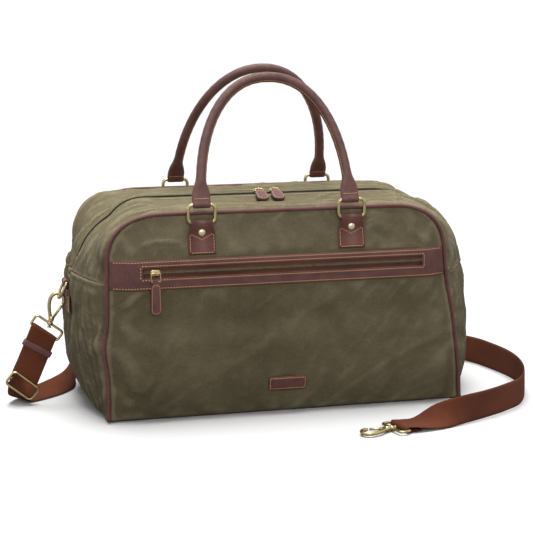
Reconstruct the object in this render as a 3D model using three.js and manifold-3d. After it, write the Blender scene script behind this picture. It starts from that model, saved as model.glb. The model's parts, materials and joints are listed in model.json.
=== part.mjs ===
// A soft canvas weekender bag with leather trim, built as separate pieces.
// Millimetres, +Z up. The origin is on the floor under the middle of the base; the front faces -Y.
import * as THREE from 'three';
import { mergeVertices } from 'three/addons/utils/BufferGeometryUtils.js';
import Module from 'manifold-3d';

const wasm = await Module();
wasm.setup();

// Driving dimensions of the bag body
const BASE_HALF = 240;        // half the length of the base
const SHOULDER_HALF = 226;    // half the length where the corners start
const SHOULDER_Z = 203;       // height where the corners start
const CORNER_ACROSS = 80;     // corner size along X
const CORNER_UP = 68;         // corner size along Z
const HALF_DEPTH = 114;       // from the middle of the bag to each row of piping
const RIM_TOP = SHOULDER_Z + CORNER_UP;
const FACE_BELLY = 10;        // how far the front and back faces stand proud of the piping
const ZIP_RIDGE = 8;          // how far the top zip stands above the piping
const CANVAS = 2.5;           // outer canvas with its backing
const SEAM_GAP = 3.6;         // from the middle of the piping to the edge of a panel
const PIPING_RADIUS = 2.4;
const SEAM_Z = 181;           // height of the seam across each end, where the top zip ends
const TRIM_GAP = 1;           // clearance between the canvas and the leather sewn on it

// Driving dimensions of the front pocket and its band
const LEATHER = 1.6;
const BAND_BOTTOM = 176.6;
const BAND_TOP = 214.6;
const SLOT = { left: -184, right: 189, bottom: 192, top: 205 };
const SLOT_MIDDLE = (SLOT.bottom + SLOT.top) / 2;

// Driving dimensions of the handles
const PATCH_HALF = 17;
const PATCH_BOTTOM = 219.5;
const PATCH_TOP = 253;
const RING_BAR_Y = 120.2;     // distance of a handle ring from the middle of the bag
const RING_BAR_Z = 260;       // height of the bar held by the patch
const RING_ACROSS = 35;
const RING_RISE = 23;
const RING_WIRE = 2.1;
const HANDLE_RADIUS = 6.3;
const ROPE_RADIUS = 3.9;
// Each handle hangs from two rings at shift - half and shift + half, and leans out by an angle
const HANDLES = {
  front: { side: -1, shift: -7, half: 99.5, rise: 164, lean: 18 },
  back: { side: 1, shift: 8, half: 105, rise: 183, lean: 29 },
};

// Driving dimensions of the shoulder strap and its fittings
const WEBBING = 38;
const WEBBING_THICKNESS = 1.8;
const STRAP_WIRE = 1.8;
const TAB_HALF = 15;          // half the width of the tab at each end
const D_RING = { across: 26, drop: 24, pivotZ: 167 };
const HOOK_LEAN = 15;         // of the clipped hook, from upright, in degrees
const LOOP_LEAN = 37;         // of the clipped webbing loop, from upright, in degrees
const LOOP_RISE = 15;

const COLOURS = {
  canvas: [0x4f4a36, 0.92, 0],
  leather: [0x4a2320, 0.5, 0],
  lining: [0x3a3226, 0.9, 0],
  board: [0x2c2a28, 0.8, 0],
  zip_tape: [0x1d1b19, 0.85, 0],
  brass: [0x8c7a4a, 0.35, 1],
  webbing: [0x6a3526, 0.85, 0],
  rope: [0xb9a98a, 0.9, 0],
};

const bag = new THREE.Group();
const up = new THREE.Vector3(0, 0, 1);
const radians = THREE.MathUtils.degToRad;
const smooth = (value) => THREE.MathUtils.smoothstep(value, 0, 1);

// ---------------------------------------------------------------- helpers

function add(name, finish, geometry, parent = bag) {
  const [color, roughness, metalness] = COLOURS[finish];
  const mesh = new THREE.Mesh(geometry, new THREE.MeshStandardMaterial({ color, roughness, metalness }));
  mesh.name = name;
  parent.add(mesh);
  return mesh;
}

function toSolid(geometry) {
  const bare = geometry.clone();
  bare.deleteAttribute('normal');
  bare.deleteAttribute('uv');
  const welded = mergeVertices(bare, 1e-4);
  const vertProperties = new Float32Array(welded.attributes.position.array);
  const triVerts = new Uint32Array(welded.index.array);
  return new wasm.Manifold(new wasm.Mesh({ numProp: 3, vertProperties, triVerts }));
}

function toGeometry(solid) {
  const { vertProperties, triVerts } = solid.getMesh();
  const geometry = new THREE.BufferGeometry();
  geometry.setAttribute('position', new THREE.Float32BufferAttribute(vertProperties, 3));
  geometry.setIndex(Array.from(triVerts));
  geometry.computeVertexNormals();
  return geometry;
}

function join(...geometries) {
  return toGeometry(geometries.map(toSolid).reduce((whole, piece) => whole.add(piece)));
}

function cut(geometry, ...tools) {
  return toGeometry(tools.map(toSolid).reduce((whole, tool) => whole.subtract(tool), toSolid(geometry)));
}

// A box between two corners
function block(low, high) {
  const size = high.map((value, axis) => value - low[axis]);
  const middle = high.map((value, axis) => (value + low[axis]) / 2);
  return new THREE.BoxGeometry(...size).translate(...middle);
}

// A cylinder whose axis runs along X, Y or Z through a middle point
function rod(axis, radius, length, middle, sides = 12) {
  const geometry = new THREE.CylinderGeometry(radius, radius, length, sides);
  if (axis === 'x') geometry.rotateZ(Math.PI / 2);
  if (axis === 'z') geometry.rotateX(Math.PI / 2);
  return geometry.translate(...middle);
}

// Six times the signed volume: negative when the faces point inwards
function signedVolume(positions, index) {
  let volume = 0;
  const corner = (i) => new THREE.Vector3().fromArray(positions, 3 * i);
  for (let i = 0; i < index.length; i += 3) {
    volume += corner(index[i]).dot(corner(index[i + 1]).cross(corner(index[i + 2])));
  }
  return volume;
}

// The triangles that close one end of a loft, in the plane its outline has been bent to there
function endCap(points) {
  const normal = new THREE.Vector3();
  points.forEach((point, i) => {
    normal.add(new THREE.Vector3().crossVectors(point, points[(i + 1) % points.length]));
  });
  const flatten = new THREE.Quaternion().setFromUnitVectors(normal.normalize(), up);
  const flat = points.map((point) => point.clone().applyQuaternion(flatten));
  return THREE.ShapeUtils.triangulateShape(flat.map(({ x, y }) => new THREE.Vector2(x, y)), []);
}

// Copies of one closed outline, placed one after another and joined into a closed body
function loft(outline, steps, place) {
  const rows = [];
  for (let row = 0; row <= steps; row++) rows.push(outline.map((corner) => place(row / steps, corner)));
  const positions = rows.flat().flatMap((point) => point.toArray());
  let index = [];
  const count = outline.length;
  for (let row = 0; row < steps; row++) {
    for (let i = 0; i < count; i++) {
      const a = row * count + i;
      const b = row * count + ((i + 1) % count);
      index.push(a, b, b + count, a, b + count, a + count);
    }
  }
  const last = steps * count;
  for (const [a, b, c] of endCap(rows[0])) index.push(a, c, b);
  for (const [a, b, c] of endCap(rows[steps])) index.push(last + a, last + b, last + c);
  if (signedVolume(positions, index) < 0) index = index.reverse();
  const geometry = new THREE.BufferGeometry();
  geometry.setAttribute('position', new THREE.Float32BufferAttribute(positions, 3));
  geometry.setIndex(index);
  geometry.computeVertexNormals();
  return geometry;
}

// The outline of a thin sheet that runs through the given stations, between two offsets
function strip(stations, inner, outer) {
  const there = stations.map((station) => new THREE.Vector2(station, inner));
  const back = stations.map((station) => new THREE.Vector2(station, outer)).reverse();
  return [...there, ...back];
}

function evenly(from, to, cells) {
  return Array.from({ length: cells + 1 }, (_, i) => from + ((to - from) * i) / cells);
}

function circle(radius, sides) {
  return evenly(0, 2 * Math.PI, sides).slice(0, -1).map(
    (angle) => new THREE.Vector2(radius * Math.cos(angle), radius * Math.sin(angle)),
  );
}

// A round tube along a curve; curveSegments of 4 gives eight sides
function tube(curve, radius, steps, curveSegments = 4) {
  const round = new THREE.Shape().absarc(0, 0, radius, 0, 2 * Math.PI);
  return new THREE.ExtrudeGeometry(round, { steps, curveSegments, extrudePath: curve });
}

function roundedRectangle(width, height, radius, Kind = THREE.Shape) {
  const x = width / 2;
  const y = height / 2;
  const shape = new Kind();
  shape.moveTo(-x + radius, -y).lineTo(x - radius, -y);
  shape.absarc(x - radius, -y + radius, radius, -Math.PI / 2, 0);
  shape.lineTo(x, y - radius).absarc(x - radius, y - radius, radius, 0, Math.PI / 2);
  shape.lineTo(-x + radius, y).absarc(-x + radius, y - radius, radius, Math.PI / 2, Math.PI);
  shape.lineTo(-x, -y + radius).absarc(-x + radius, -y + radius, radius, Math.PI, 1.5 * Math.PI);
  return shape;
}

// A D with its straight bar along the top at y = 0 and its bow below
function dShape(across, drop, grow, Kind = THREE.Shape) {
  const half = across / 2 + grow;
  const shoulder = -(drop - across / 2);
  const shape = new Kind();
  shape.moveTo(half, grow).lineTo(-half, grow).lineTo(-half, shoulder);
  shape.absarc(0, shoulder, half, Math.PI, 2 * Math.PI);
  shape.lineTo(half, grow);
  return shape;
}

// Eight-sided wire bent into a closed loop in the XY plane; outlineAt(grow, Kind) draws the loop's middle line
function wireLoop(outlineAt, wire, curveSegments = 2) {
  const land = wire * Math.tan(Math.PI / 8);
  const shape = outlineAt(land, THREE.Shape);
  shape.holes.push(outlineAt(-land, THREE.Path));
  const bevel = wire - land;
  const geometry = new THREE.ExtrudeGeometry(shape, {
    depth: 2 * land,
    curveSegments,
    bevelThickness: bevel,
    bevelSize: bevel,
    bevelSegments: 1,
  });
  return geometry.translate(0, 0, -land);
}

function rectangleLoop(width, height, radius, wire, curveSegments) {
  const outline = (grow, Kind) => roundedRectangle(width + 2 * grow, height + 2 * grow, radius + grow, Kind);
  return wireLoop(outline, wire, curveSegments);
}

// ---------------------------------------------------------------- the bag's surfaces

// Half the length of a face at a height, inside the piping by an inset
function faceHalf(z, inset = 0) {
  if (z <= SHOULDER_Z) return THREE.MathUtils.lerp(BASE_HALF, SHOULDER_HALF, z / SHOULDER_Z) - inset;
  const rise = Math.min(1, (z - SHOULDER_Z) / (CORNER_UP - inset));
  return SHOULDER_HALF - CORNER_ACROSS + (CORNER_ACROSS - inset) * Math.sqrt(1 - rise * rise);
}

// How far a face stands out of the plane of its piping: flat in the middle, falling away at the edges
function faceBelly(x, z) {
  const fromSide = (1 - Math.abs(x) / faceHalf(z)) / 0.14;
  return FACE_BELLY * smooth(fromSide) * smooth(z / 60) * smooth((RIM_TOP - z) / 70);
}

// A point on the front (side -1) or back (side 1) face, moved outwards by an offset
function onFace(side, x, z, offset) {
  return new THREE.Vector3(x, side * (HALF_DEPTH + faceBelly(x, z) + offset), z);
}

// The line of the piping, up one end, over the top and down the other, as (x, z)
const rim = new THREE.Path();
rim.moveTo(-BASE_HALF, 0).lineTo(-SHOULDER_HALF, SHOULDER_Z);
rim.absellipse(CORNER_ACROSS - SHOULDER_HALF, SHOULDER_Z, CORNER_ACROSS, CORNER_UP, Math.PI, Math.PI / 2, true);
rim.lineTo(SHOULDER_HALF - CORNER_ACROSS, RIM_TOP);
rim.absellipse(SHOULDER_HALF - CORNER_ACROSS, SHOULDER_Z, CORNER_ACROSS, CORNER_UP, Math.PI / 2, 0, true);
rim.lineTo(BASE_HALF, 0);

// How far each end stands proud of the piping, by height: [z, left end, right end, more behind the left tab]
const END_BELLIES = [
  [0, 5, 7, 2], [17, 14, 21, 6], [35, 24, 35, 9], [60, 31, 45, 11], [100, 35, 51, 11], [150, 36, 51, 11],
  [172, 36, 50, 10], [193, 29, 49, 8], [206, 25, 47, 8], [217, 17, 43, 10], [231, 8, 32, 15],
  [245, 1, 20, 18], [256, -3, 13, 17], [265, -3, 4, 11], [RIM_TOP, 0, 0, 2],
];

function endBelly(column, z) {
  const next = Math.max(1, END_BELLIES.findIndex(([height]) => height >= z));
  const [below, above] = [END_BELLIES[next - 1], END_BELLIES[next]];
  const share = THREE.MathUtils.clamp((z - below[0]) / (above[0] - below[0]), 0, 1);
  return THREE.MathUtils.lerp(below[column], above[column], share);
}

// How far the gusset stands out of the line of the piping, at the left (side -1) or right (side 1) end
function gussetBelly(side, y, z) {
  const across = y / HALF_DEPTH;
  const back = side < 0 ? Math.max(0, (y - TAB_HALF) / (HALF_DEPTH - TAB_HALF)) : 0;
  const behind = endBelly(3, z) * 6.75 * back ** 2 * (1 - back);
  const ridge = (1 - smooth(Math.abs(y) / 45)) * smooth((z - 252) / 19);
  return endBelly(side < 0 ? 1 : 2, z) * (1 - across ** 2) + behind + ZIP_RIDGE * ridge;
}

// A point on the gusset at a fraction of the rim's length, moved outwards by an offset
function onGusset(fraction, y, offset) {
  const point = rim.getPointAt(fraction);
  const tangent = rim.getTangentAt(fraction);
  const out = gussetBelly(fraction < 0.5 ? -1 : 1, y, Math.min(point.y, RIM_TOP)) + offset;
  return new THREE.Vector3(point.x - tangent.y * out, y, point.y + tangent.x * out);
}

const rimLength = rim.getLength();
const wallLength = Math.hypot(BASE_HALF - SHOULDER_HALF, SHOULDER_Z);
const rimFraction = (z) => (z / SHOULDER_Z) * (wallLength / rimLength);

// ---------------------------------------------------------------- body panels

const RIVET_Z = 247.5;
const RIVET_SHANK = 1.3;

function rivetHoles({ side, shift, half }) {
  return [shift - half, shift + half].map(
    (x) => rod('y', RIVET_SHANK + 0.3, 30, [x, side * HALF_DEPTH, RIVET_Z], 8),
  );
}

function slotTool(grow) {
  const low = [SLOT.left - grow, -HALF_DEPTH - 30, SLOT.bottom - grow];
  return block(low, [SLOT.right + grow, -HALF_DEPTH + 5, SLOT.top + grow]);
}

// Fractions of half the length at which a face and its band change slope
const FACE_COLUMNS = [-1, -0.95, -0.9, -0.86, -0.4, 0, 0.4, 0.86, 0.9, 0.95, 1];

function facePanel(side) {
  const bottom = 2.8;
  const place = (fraction, corner) => {
    const wall = Math.min(1, fraction / 0.5);
    const turn = Math.max(0, fraction / 0.5 - 1) * (Math.PI / 2);
    const z = bottom + wall * (SHOULDER_Z - bottom) + Math.sin(turn) * (CORNER_UP - SEAM_GAP);
    return onFace(side, corner.x * faceHalf(z, SEAM_GAP), z, corner.y);
  };
  return loft(strip(FACE_COLUMNS, -CANVAS, 0), 14, place);
}

const END_COLUMNS = [-1, -0.71, -0.37, -0.06, 0.29, 0.66, 1];
const END_STEPS = 8;

// The left (side -1) or right (side 1) gusset below the seam across it
function endPanel(side) {
  const stations = END_COLUMNS.map((column) => column * (HALF_DEPTH - SEAM_GAP));
  const place = (fraction, corner) => {
    const along = THREE.MathUtils.lerp(rimFraction(2.8), rimFraction(SEAM_Z), fraction);
    return onGusset(side < 0 ? along : 1 - along, corner.x, corner.y);
  };
  return loft(strip(stations, -CANVAS, 0), END_STEPS, place);
}

const topStart = rimFraction(SEAM_Z + 0.8);
const TOP_STEPS = 24;

function topPanel(side) {
  const stations = [4.6, 22, 45, HALF_DEPTH - SEAM_GAP].map((y) => side * y);
  const place = (fraction, corner) => onGusset(
    THREE.MathUtils.lerp(topStart, 1 - topStart, fraction), corner.x, corner.y,
  );
  return loft(strip(stations, -CANVAS, 0), TOP_STEPS, place);
}

function piping(side) {
  const line = evenly(rimFraction(PIPING_RADIUS + 0.2), 1 - rimFraction(PIPING_RADIUS + 0.2), 30).map((fraction) => {
    const point = rim.getPointAt(fraction);
    return new THREE.Vector3(point.x, side * HALF_DEPTH, point.y);
  });
  return tube(new THREE.CatmullRomCurve3(line), PIPING_RADIUS, 44, 3);
}

function plate(width, depth, radius, low, high) {
  const shape = roundedRectangle(width, depth, radius);
  return new THREE.ExtrudeGeometry(shape, { depth: high - low, curveSegments: 2, bevelEnabled: false })
    .translate(0, 0, low);
}

// The inside lining: a loose box of thin cloth, open along the top under the zip
function lining() {
  const layer = (inset) => {
    const shape = new THREE.Shape();
    shape.moveTo(inset - BASE_HALF, inset).lineTo(BASE_HALF - inset, inset);
    shape.lineTo(SHOULDER_HALF - inset, SHOULDER_Z);
    const across = CORNER_ACROSS - inset;
    shape.absellipse(SHOULDER_HALF - CORNER_ACROSS, SHOULDER_Z, across, CORNER_UP - inset, 0, Math.PI / 2);
    shape.absellipse(CORNER_ACROSS - SHOULDER_HALF, SHOULDER_Z, across, CORNER_UP - inset, Math.PI / 2, Math.PI);
    const depth = 2 * (HALF_DEPTH - inset);
    return new THREE.ExtrudeGeometry(shape, { depth, curveSegments: 4, bevelEnabled: false })
      .rotateX(Math.PI / 2).translate(0, depth / 2, 0);
  };
  const mouth = block([-150, -30, RIM_TOP - 30], [150, 30, RIM_TOP + 10]);
  return cut(layer(8), layer(9.2), mouth);
}

add('front_panel', 'canvas', cut(facePanel(-1), slotTool(3), ...rivetHoles(HANDLES.front)));
add('back_panel', 'canvas', cut(facePanel(1), ...rivetHoles(HANDLES.back)));
add('base_panel', 'canvas', plate(2 * BASE_HALF - 4, 2 * HALF_DEPTH - 10, 6, 0, CANVAS));
add('side_panel_left', 'canvas', endPanel(-1));
add('side_panel_right', 'canvas', endPanel(1));
add('top_panel_front', 'canvas', topPanel(-1));
add('top_panel_back', 'canvas', topPanel(1));
add('piping_front', 'leather', piping(-1));
add('piping_back', 'leather', piping(1));
add('base_board', 'board', plate(2 * BASE_HALF - 30, 2 * HALF_DEPTH - 30, 12, 3.2, 6.2));
add('lining', 'lining', lining());

// ---------------------------------------------------------------- front pocket

const FACE_FRONT = -(HALF_DEPTH + FACE_BELLY);

function pocketBand() {
  const steps = FACE_COLUMNS.length - 1;
  const place = (fraction, corner) => {
    const half = faceHalf(corner.x, SEAM_GAP) - 0.4;
    return onFace(-1, FACE_COLUMNS[Math.round(fraction * steps)] * half, corner.x, corner.y);
  };
  const rows = evenly(BAND_BOTTOM, BAND_TOP, 3);
  return cut(loft(strip(rows, TRIM_GAP, TRIM_GAP + LEATHER), steps, place), slotTool(0));
}

// Half of a straight zip along X: a tape with its row of teeth along the edge nearest the middle
function pocketZip(side) {
  const profile = new THREE.Shape(
    [[0.3, 8.5], [0.3, 3.2], [-0.6, 3.2], [-0.6, 0.6], [1.5, 0.6], [1.5, 8.5]]
      .map(([y, z]) => new THREE.Vector2(y, side * z)),
  );
  return new THREE.ExtrudeGeometry(profile, { depth: SLOT.right - SLOT.left, bevelEnabled: false })
    .applyMatrix4(new THREE.Matrix4().makeBasis(new THREE.Vector3(0, 1, 0), up, new THREE.Vector3(1, 0, 0)))
    .translate(SLOT.left, FACE_FRONT, SLOT_MIDDLE);
}

// A zip slider in its own frame: +X along the zip, +Z out of the fabric, z = 0 at the face of the teeth
function slider(length, width, teethDepth, topPlate) {
  const top = plate(length, width, 2.4, 0.3 + topPlate, 2 + topPlate);
  const under = plate(length, width, 2.4, -teethDepth - 1.8, -teethDepth - 0.4);
  const web = block([-length / 4, -0.3, -teethDepth - 1], [length / 4, 0.3, topPlate + 1]);
  const lug = block([-1.4, -3, topPlate + 1.5], [1.4, 3, topPlate + 6.2]);
  return cut(join(top, under, web, lug), rod('x', 1.2, 10, [0, 0, topPlate + 4], 8));
}

const LINK_WIRE = 0.8;

// The wire link of a puller: it hangs along -Y from an axis along X through the origin
function pullLink(across, drop) {
  return rectangleLoop(across, drop, 1.2, LINK_WIRE, 1).translate(0, -drop / 2, 0);
}

// A leather puller on the far bar of its link, sewn round it and hanging along -Y
function puller(width, length, drop) {
  const thickness = 2.4;
  const tab = plate(width, length, width / 2 - 0.5, -thickness / 2, thickness / 2)
    .translate(0, -drop - length / 2 - 2.2, 0);
  const neck = plate(8.6, 8, 1, -thickness / 2, thickness / 2).translate(0, -drop - 2, 0);
  return cut(join(tab, neck), rod('x', LINK_WIRE + 0.3, 40, [0, -drop, 0], 8));
}

// The space behind the front face that the pocket zip opens
function pocketPouch() {
  const outer = block([SLOT.left - 4, -117.8, 52], [SLOT.right + 4, -108, 190]);
  const inner = block([SLOT.left - 3, -116.9, 53], [SLOT.right + 3, -108.9, 200]);
  return cut(outer, inner);
}

add('pocket_band', 'leather', pocketBand());
add('pocket_pouch', 'lining', pocketPouch());
add('pocket_zip_upper', 'zip_tape', pocketZip(1));
add('pocket_zip_lower', 'zip_tape', pocketZip(-1));

// The slider stands at the left end of the closed zip; its puller hangs straight down
const POCKET_SLIDER_X = -168;
const pocketSlider = new THREE.Group();
pocketSlider.position.set(POCKET_SLIDER_X, FACE_FRONT - 0.6, SLOT_MIDDLE);
pocketSlider.rotation.x = Math.PI / 2;
bag.add(pocketSlider);
add('pocket_slider', 'brass', slider(13, 8.4, 2.1, 0), pocketSlider);
const pocketPull = new THREE.Group();
pocketPull.position.z = 4;
pocketSlider.add(pocketPull);
add('pocket_pull_link', 'brass', pullLink(12, 11), pocketPull);
add('pocket_puller', 'leather', puller(14.5, 41, 11), pocketPull);

function labelPatch() {
  const width = 51.5;
  const height = 18.8;
  return plate(width, height, 3, 0, LEATHER).rotateX(Math.PI / 2)
    .translate(5.2, FACE_FRONT - 0.6, 43);
}

add('label_patch', 'leather', labelPatch());

// ---------------------------------------------------------------- top zip

// Half of the top zip: a tape under the canvas with its row of teeth beside the middle line
function topZip(side) {
  const profile = [[14, -3.5], [3.2, -3.5], [3.2, -1.4], [0.6, -1.4], [0.6, -4.7], [14, -4.7]]
    .map(([y, offset]) => new THREE.Vector2(side * y, offset));
  const place = (fraction, corner) => onGusset(
    THREE.MathUtils.lerp(topStart, 1 - topStart, fraction), corner.x, corner.y,
  );
  return loft(profile, TOP_STEPS, place);
}

add('main_zip_front', 'zip_tape', topZip(-1));
add('main_zip_back', 'zip_tape', topZip(1));

const TEETH_TOP = RIM_TOP + ZIP_RIDGE - 1.4;
const PULLER_DROOP = 14;      // how far the pullers tip down towards the front, in degrees
for (const [name, x] of [['left', -4], ['right', 18]]) {
  const group = new THREE.Group();
  group.position.set(x, 0, TEETH_TOP);
  bag.add(group);
  add(`main_slider_${name}`, 'brass', slider(13, 8.4, 3.6, 1.2), group);
  const pull = new THREE.Group();
  pull.position.z = 5.2;
  pull.rotation.x = radians(PULLER_DROOP);
  group.add(pull);
  add(`main_pull_link_${name}`, 'brass', pullLink(12, 7), pull);
  add(`main_puller_${name}`, 'leather', puller(14.5, 25, 7), pull);
}

// ---------------------------------------------------------------- handles

// A leather patch sewn to a face, with a loop at its top that holds a handle ring
function handlePatch(handle, x) {
  const { side } = handle;
  const stations = evenly(-PATCH_HALF, PATCH_HALF, 2);
  const place = (fraction, corner) => {
    const z = THREE.MathUtils.lerp(PATCH_BOTTOM, PATCH_TOP, fraction);
    return onFace(side, x + corner.x, z, corner.y);
  };
  const sewn = loft(strip(stations, TRIM_GAP, TRIM_GAP + LEATHER), 4, place);
  const neckY = side * (HALF_DEPTH + 3.1);
  const neckHalf = 12.4;
  const neck = block(
    [x - neckHalf, Math.min(neckY, neckY + side * 2.4), PATCH_TOP - 4],
    [x + neckHalf, Math.max(neckY, neckY + side * 2.4), RING_BAR_Z],
  );
  const loop = rod('x', RING_WIRE + 2, 2 * neckHalf, [x, side * RING_BAR_Y, RING_BAR_Z]);
  const bore = rod('x', RING_WIRE + 0.4, 60, [x, side * RING_BAR_Y, RING_BAR_Z]);
  return cut(join(sewn, neck, loop), bore, ...rivetHoles(handle));
}

// A rivet through patch and canvas: a domed head outside, a shank and a flat tail inside
function rivet(side, x, z) {
  const face = HALF_DEPTH + faceBelly(x, z);
  const outside = face + TRIM_GAP + LEATHER + 1.5;
  const inside = face - CANVAS - 1;
  const profile = [
    [0, inside - 1], [4, inside - 1], [4, inside], [RIVET_SHANK, inside], [RIVET_SHANK, outside],
    [4.6, outside], [3.6, outside + 1.4], [0, outside + 2],
  ].map(([radius, height]) => new THREE.Vector2(radius, height));
  const geometry = new THREE.LatheGeometry(profile, 8);
  if (side < 0) geometry.rotateX(Math.PI);
  return geometry.translate(x, 0, z);
}

// The middle line of a handle, upright, between the two ring bars it hangs from
class Arch extends THREE.Curve {
  constructor(half, rise, trim) {
    super();
    Object.assign(this, { half, rise, trim });
  }
  getPoint(fraction) {
    const angle = THREE.MathUtils.lerp(this.trim, Math.PI - this.trim, fraction);
    return new THREE.Vector3(-this.half * Math.cos(angle), 0, this.rise * Math.sin(angle));
  }
}

// A body along an arch; outline.x runs across the arch in its plane and outline.y runs along Y
function alongArch(arch, outline, steps, scale = () => [1, 1]) {
  const place = (fraction, corner) => {
    const point = arch.getPointAt(fraction);
    const tangent = arch.getTangentAt(fraction);
    const [across, through] = scale(fraction * arch.getLength(), (1 - fraction) * arch.getLength());
    const outwards = new THREE.Vector3(-tangent.z, 0, tangent.x);
    return point.addScaledVector(outwards, corner.x * across).add(new THREE.Vector3(0, corner.y * through, 0));
  };
  return loft(outline, steps, place);
}

const ROPE_TRIM = radians(12);
const ROPE_STEPS = 16;

// Leather wrapped round a rope, its edges meeting in a seam on the inner side, with a flat end at each ring
function handleCover({ half, rise }) {
  const arch = new Arch(half, rise, radians(2.2));
  const flare = (fromStart, fromEnd) => {
    const round = smooth((Math.min(fromStart, fromEnd) - 6) / 34);
    return [THREE.MathUtils.lerp(12 / HANDLE_RADIUS, 1, round), THREE.MathUtils.lerp(2.6 / HANDLE_RADIUS, 1, round)];
  };
  const skin = alongArch(arch, circle(HANDLE_RADIUS, 8), 22, flare);
  const inside = new Arch(half, rise, ROPE_TRIM);
  const bore = alongArch(inside, circle(ROPE_RADIUS + 0.35, 6), ROPE_STEPS);
  const slit = [[-3, -0.25], [-12, -0.25], [-12, 0.25], [-3, 0.25]].map(([a, b]) => new THREE.Vector2(a, b));
  const seam = alongArch(inside, slit, ROPE_STEPS);
  const ends = [-half, half].flatMap((x) => [
    rod('x', 4.4, 24, [x, 0, 0], 10),
    block([x - 12, -2.6, 0], [x + 12, 2.6, 9]),
  ]);
  const bars = [-half, half].map((x) => rod('x', RING_WIRE + 0.4, 60, [x, 0, 0]));
  return cut(join(skin, ...ends), bore, seam, ...bars);
}

function handleRope({ half, rise }) {
  return alongArch(new Arch(half, rise, ROPE_TRIM + radians(0.3)), circle(ROPE_RADIUS, 6), ROPE_STEPS);
}

for (const [face, handle] of Object.entries(HANDLES)) {
  for (const [hand, end] of [['left', -handle.half], ['right', handle.half]]) {
    const x = handle.shift + end;
    add(`handle_patch_${face}_${hand}`, 'leather', handlePatch(handle, x));
    add(`handle_rivet_${face}_${hand}`, 'brass', rivet(handle.side, x, RIVET_Z));
    const ring = rectangleLoop(RING_ACROSS, RING_RISE, 5, RING_WIRE).rotateX(Math.PI / 2);
    add(`handle_ring_${face}_${hand}`, 'brass', ring)
      .position.set(x, handle.side * RING_BAR_Y, RING_BAR_Z + RING_RISE / 2);
  }
  const pivot = new THREE.Group();
  pivot.position.set(handle.shift, handle.side * RING_BAR_Y, RING_BAR_Z + RING_RISE);
  pivot.rotation.x = handle.side * radians(handle.lean);
  bag.add(pivot);
  add(`handle_cover_${face}`, 'leather', handleCover(handle), pivot);
  add(`handle_core_${face}`, 'rope', handleRope(handle), pivot);
}

// ---------------------------------------------------------------- end tabs and D rings

// The left and right ends: the surface of the canvas at mid depth, and the bar of the D ring hung in front of it
const TAB_LOOP = 4;
const leftHalf = (z) => faceHalf(z) + gussetBelly(-1, 0, z);
const rightHalf = (z) => faceHalf(z) + gussetBelly(1, 0, z);
const leftPivot = -(leftHalf(D_RING.pivotZ) + 0.6 + TAB_LOOP);
const rightPivot = rightHalf(D_RING.pivotZ) + 0.6 + TAB_LOOP;

// A leather tab sewn to an end gusset, with a loop at its top for a D ring
function endTab(side) {
  const place = (fraction, corner) => {
    const along = rimFraction(THREE.MathUtils.lerp(122, 163, fraction));
    return onGusset(side < 0 ? along : 1 - along, corner.x, corner.y);
  };
  const sewn = loft(strip(evenly(-TAB_HALF, TAB_HALF, 3), TRIM_GAP, TRIM_GAP + LEATHER + 0.4), 3, place);
  const pivot = [side < 0 ? leftPivot : rightPivot, 0, D_RING.pivotZ];
  const loop = rod('y', TAB_LOOP, 21, pivot);
  const half = side < 0 ? leftHalf(160) : rightHalf(160);
  const neckX = [side * (half + 1), side * (half + 3)].sort((a, b) => a - b);
  const neck = block([neckX[0], -10.5, 159], [neckX[1], 10.5, D_RING.pivotZ]);
  return cut(join(sewn, neck, loop), rod('y', STRAP_WIRE + 0.4, 40, pivot));
}

// A D ring whose bar lies on the Y axis and whose bow hangs down
function dRing() {
  const outline = (grow, Kind) => dShape(D_RING.across, D_RING.drop, grow, Kind);
  return wireLoop(outline, STRAP_WIRE, 4).rotateX(Math.PI / 2).rotateZ(Math.PI / 2);
}

add('side_tab_left', 'leather', endTab(-1));
add('side_tab_right', 'leather', endTab(1));
const D_LEAN = 24;
const leftRing = add('d_ring_left', 'brass', dRing());
leftRing.position.set(leftPivot, 0, D_RING.pivotZ);
leftRing.rotation.y = radians(D_LEAN);
const rightRing = add('d_ring_right', 'brass', dRing());
rightRing.position.set(rightPivot, 0, D_RING.pivotZ);
rightRing.rotation.y = radians(-12);

// ---------------------------------------------------------------- strap hooks

// A hook in its own frame: its swivel axis is Z, its opening is in the XZ plane and its nose is on +X
function hook() {
  const line = [[-1, 4], [-4.5, 12], [-7.2, 22], [-7.4, 31], [-4, 37], [2, 39], [8, 36.5], [10.6, 31], [10.4, 26]]
    .map(([x, z]) => new THREE.Vector3(x, 0, z));
  const wire = tube(new THREE.CatmullRomCurve3(line), 2, 14, 4);
  const barrel = rod('z', 3.8, 6.4, [0, 0, 3.2], 10);
  const stem = rod('z', 1.5, 10, [0, 0, -4], 8);
  const head = rod('z', 3, 1.8, [0, 0, -8.6], 8);
  return cut(join(wire, barrel, stem, head), block([1, -1.9, 4.4], [8, 1.9, 9]));
}

// The sprung gate that closes the hook, from a pivot beside the barrel to the nose
function hookGate() {
  const from = new THREE.Vector3(2.6, 0, 5.6);
  const to = new THREE.Vector3(9.4, 0, 23.2);
  return tube(new THREE.LineCurve3(from, to), 1.3, 1, 4);
}

// The loop that holds the webbing: its eye sits on the hook's axis and leans back by an angle from it
function hookLoop(lean) {
  const loop = rectangleLoop(WEBBING + 5, LOOP_RISE, 4, STRAP_WIRE).rotateX(Math.PI / 2)
    .translate(0, 0, -LOOP_RISE / 2).rotateY(lean);
  const eye = rod('z', 3.6, 4.4, [0, 0, 0], 12);
  return cut(join(loop, eye), rod('z', 1.9, 20, [0, 0, 0], 10)).translate(0, 0, EYE_DROP);
}

const EYE_DROP = -3.6;

function addHook(name, group, lean) {
  bag.add(group);
  add(`hook_${name}`, 'brass', hook(), group);
  add(`hook_gate_${name}`, 'brass', hookGate(), group);
  add(`hook_loop_${name}`, 'brass', hookLoop(lean), group);
}

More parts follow.
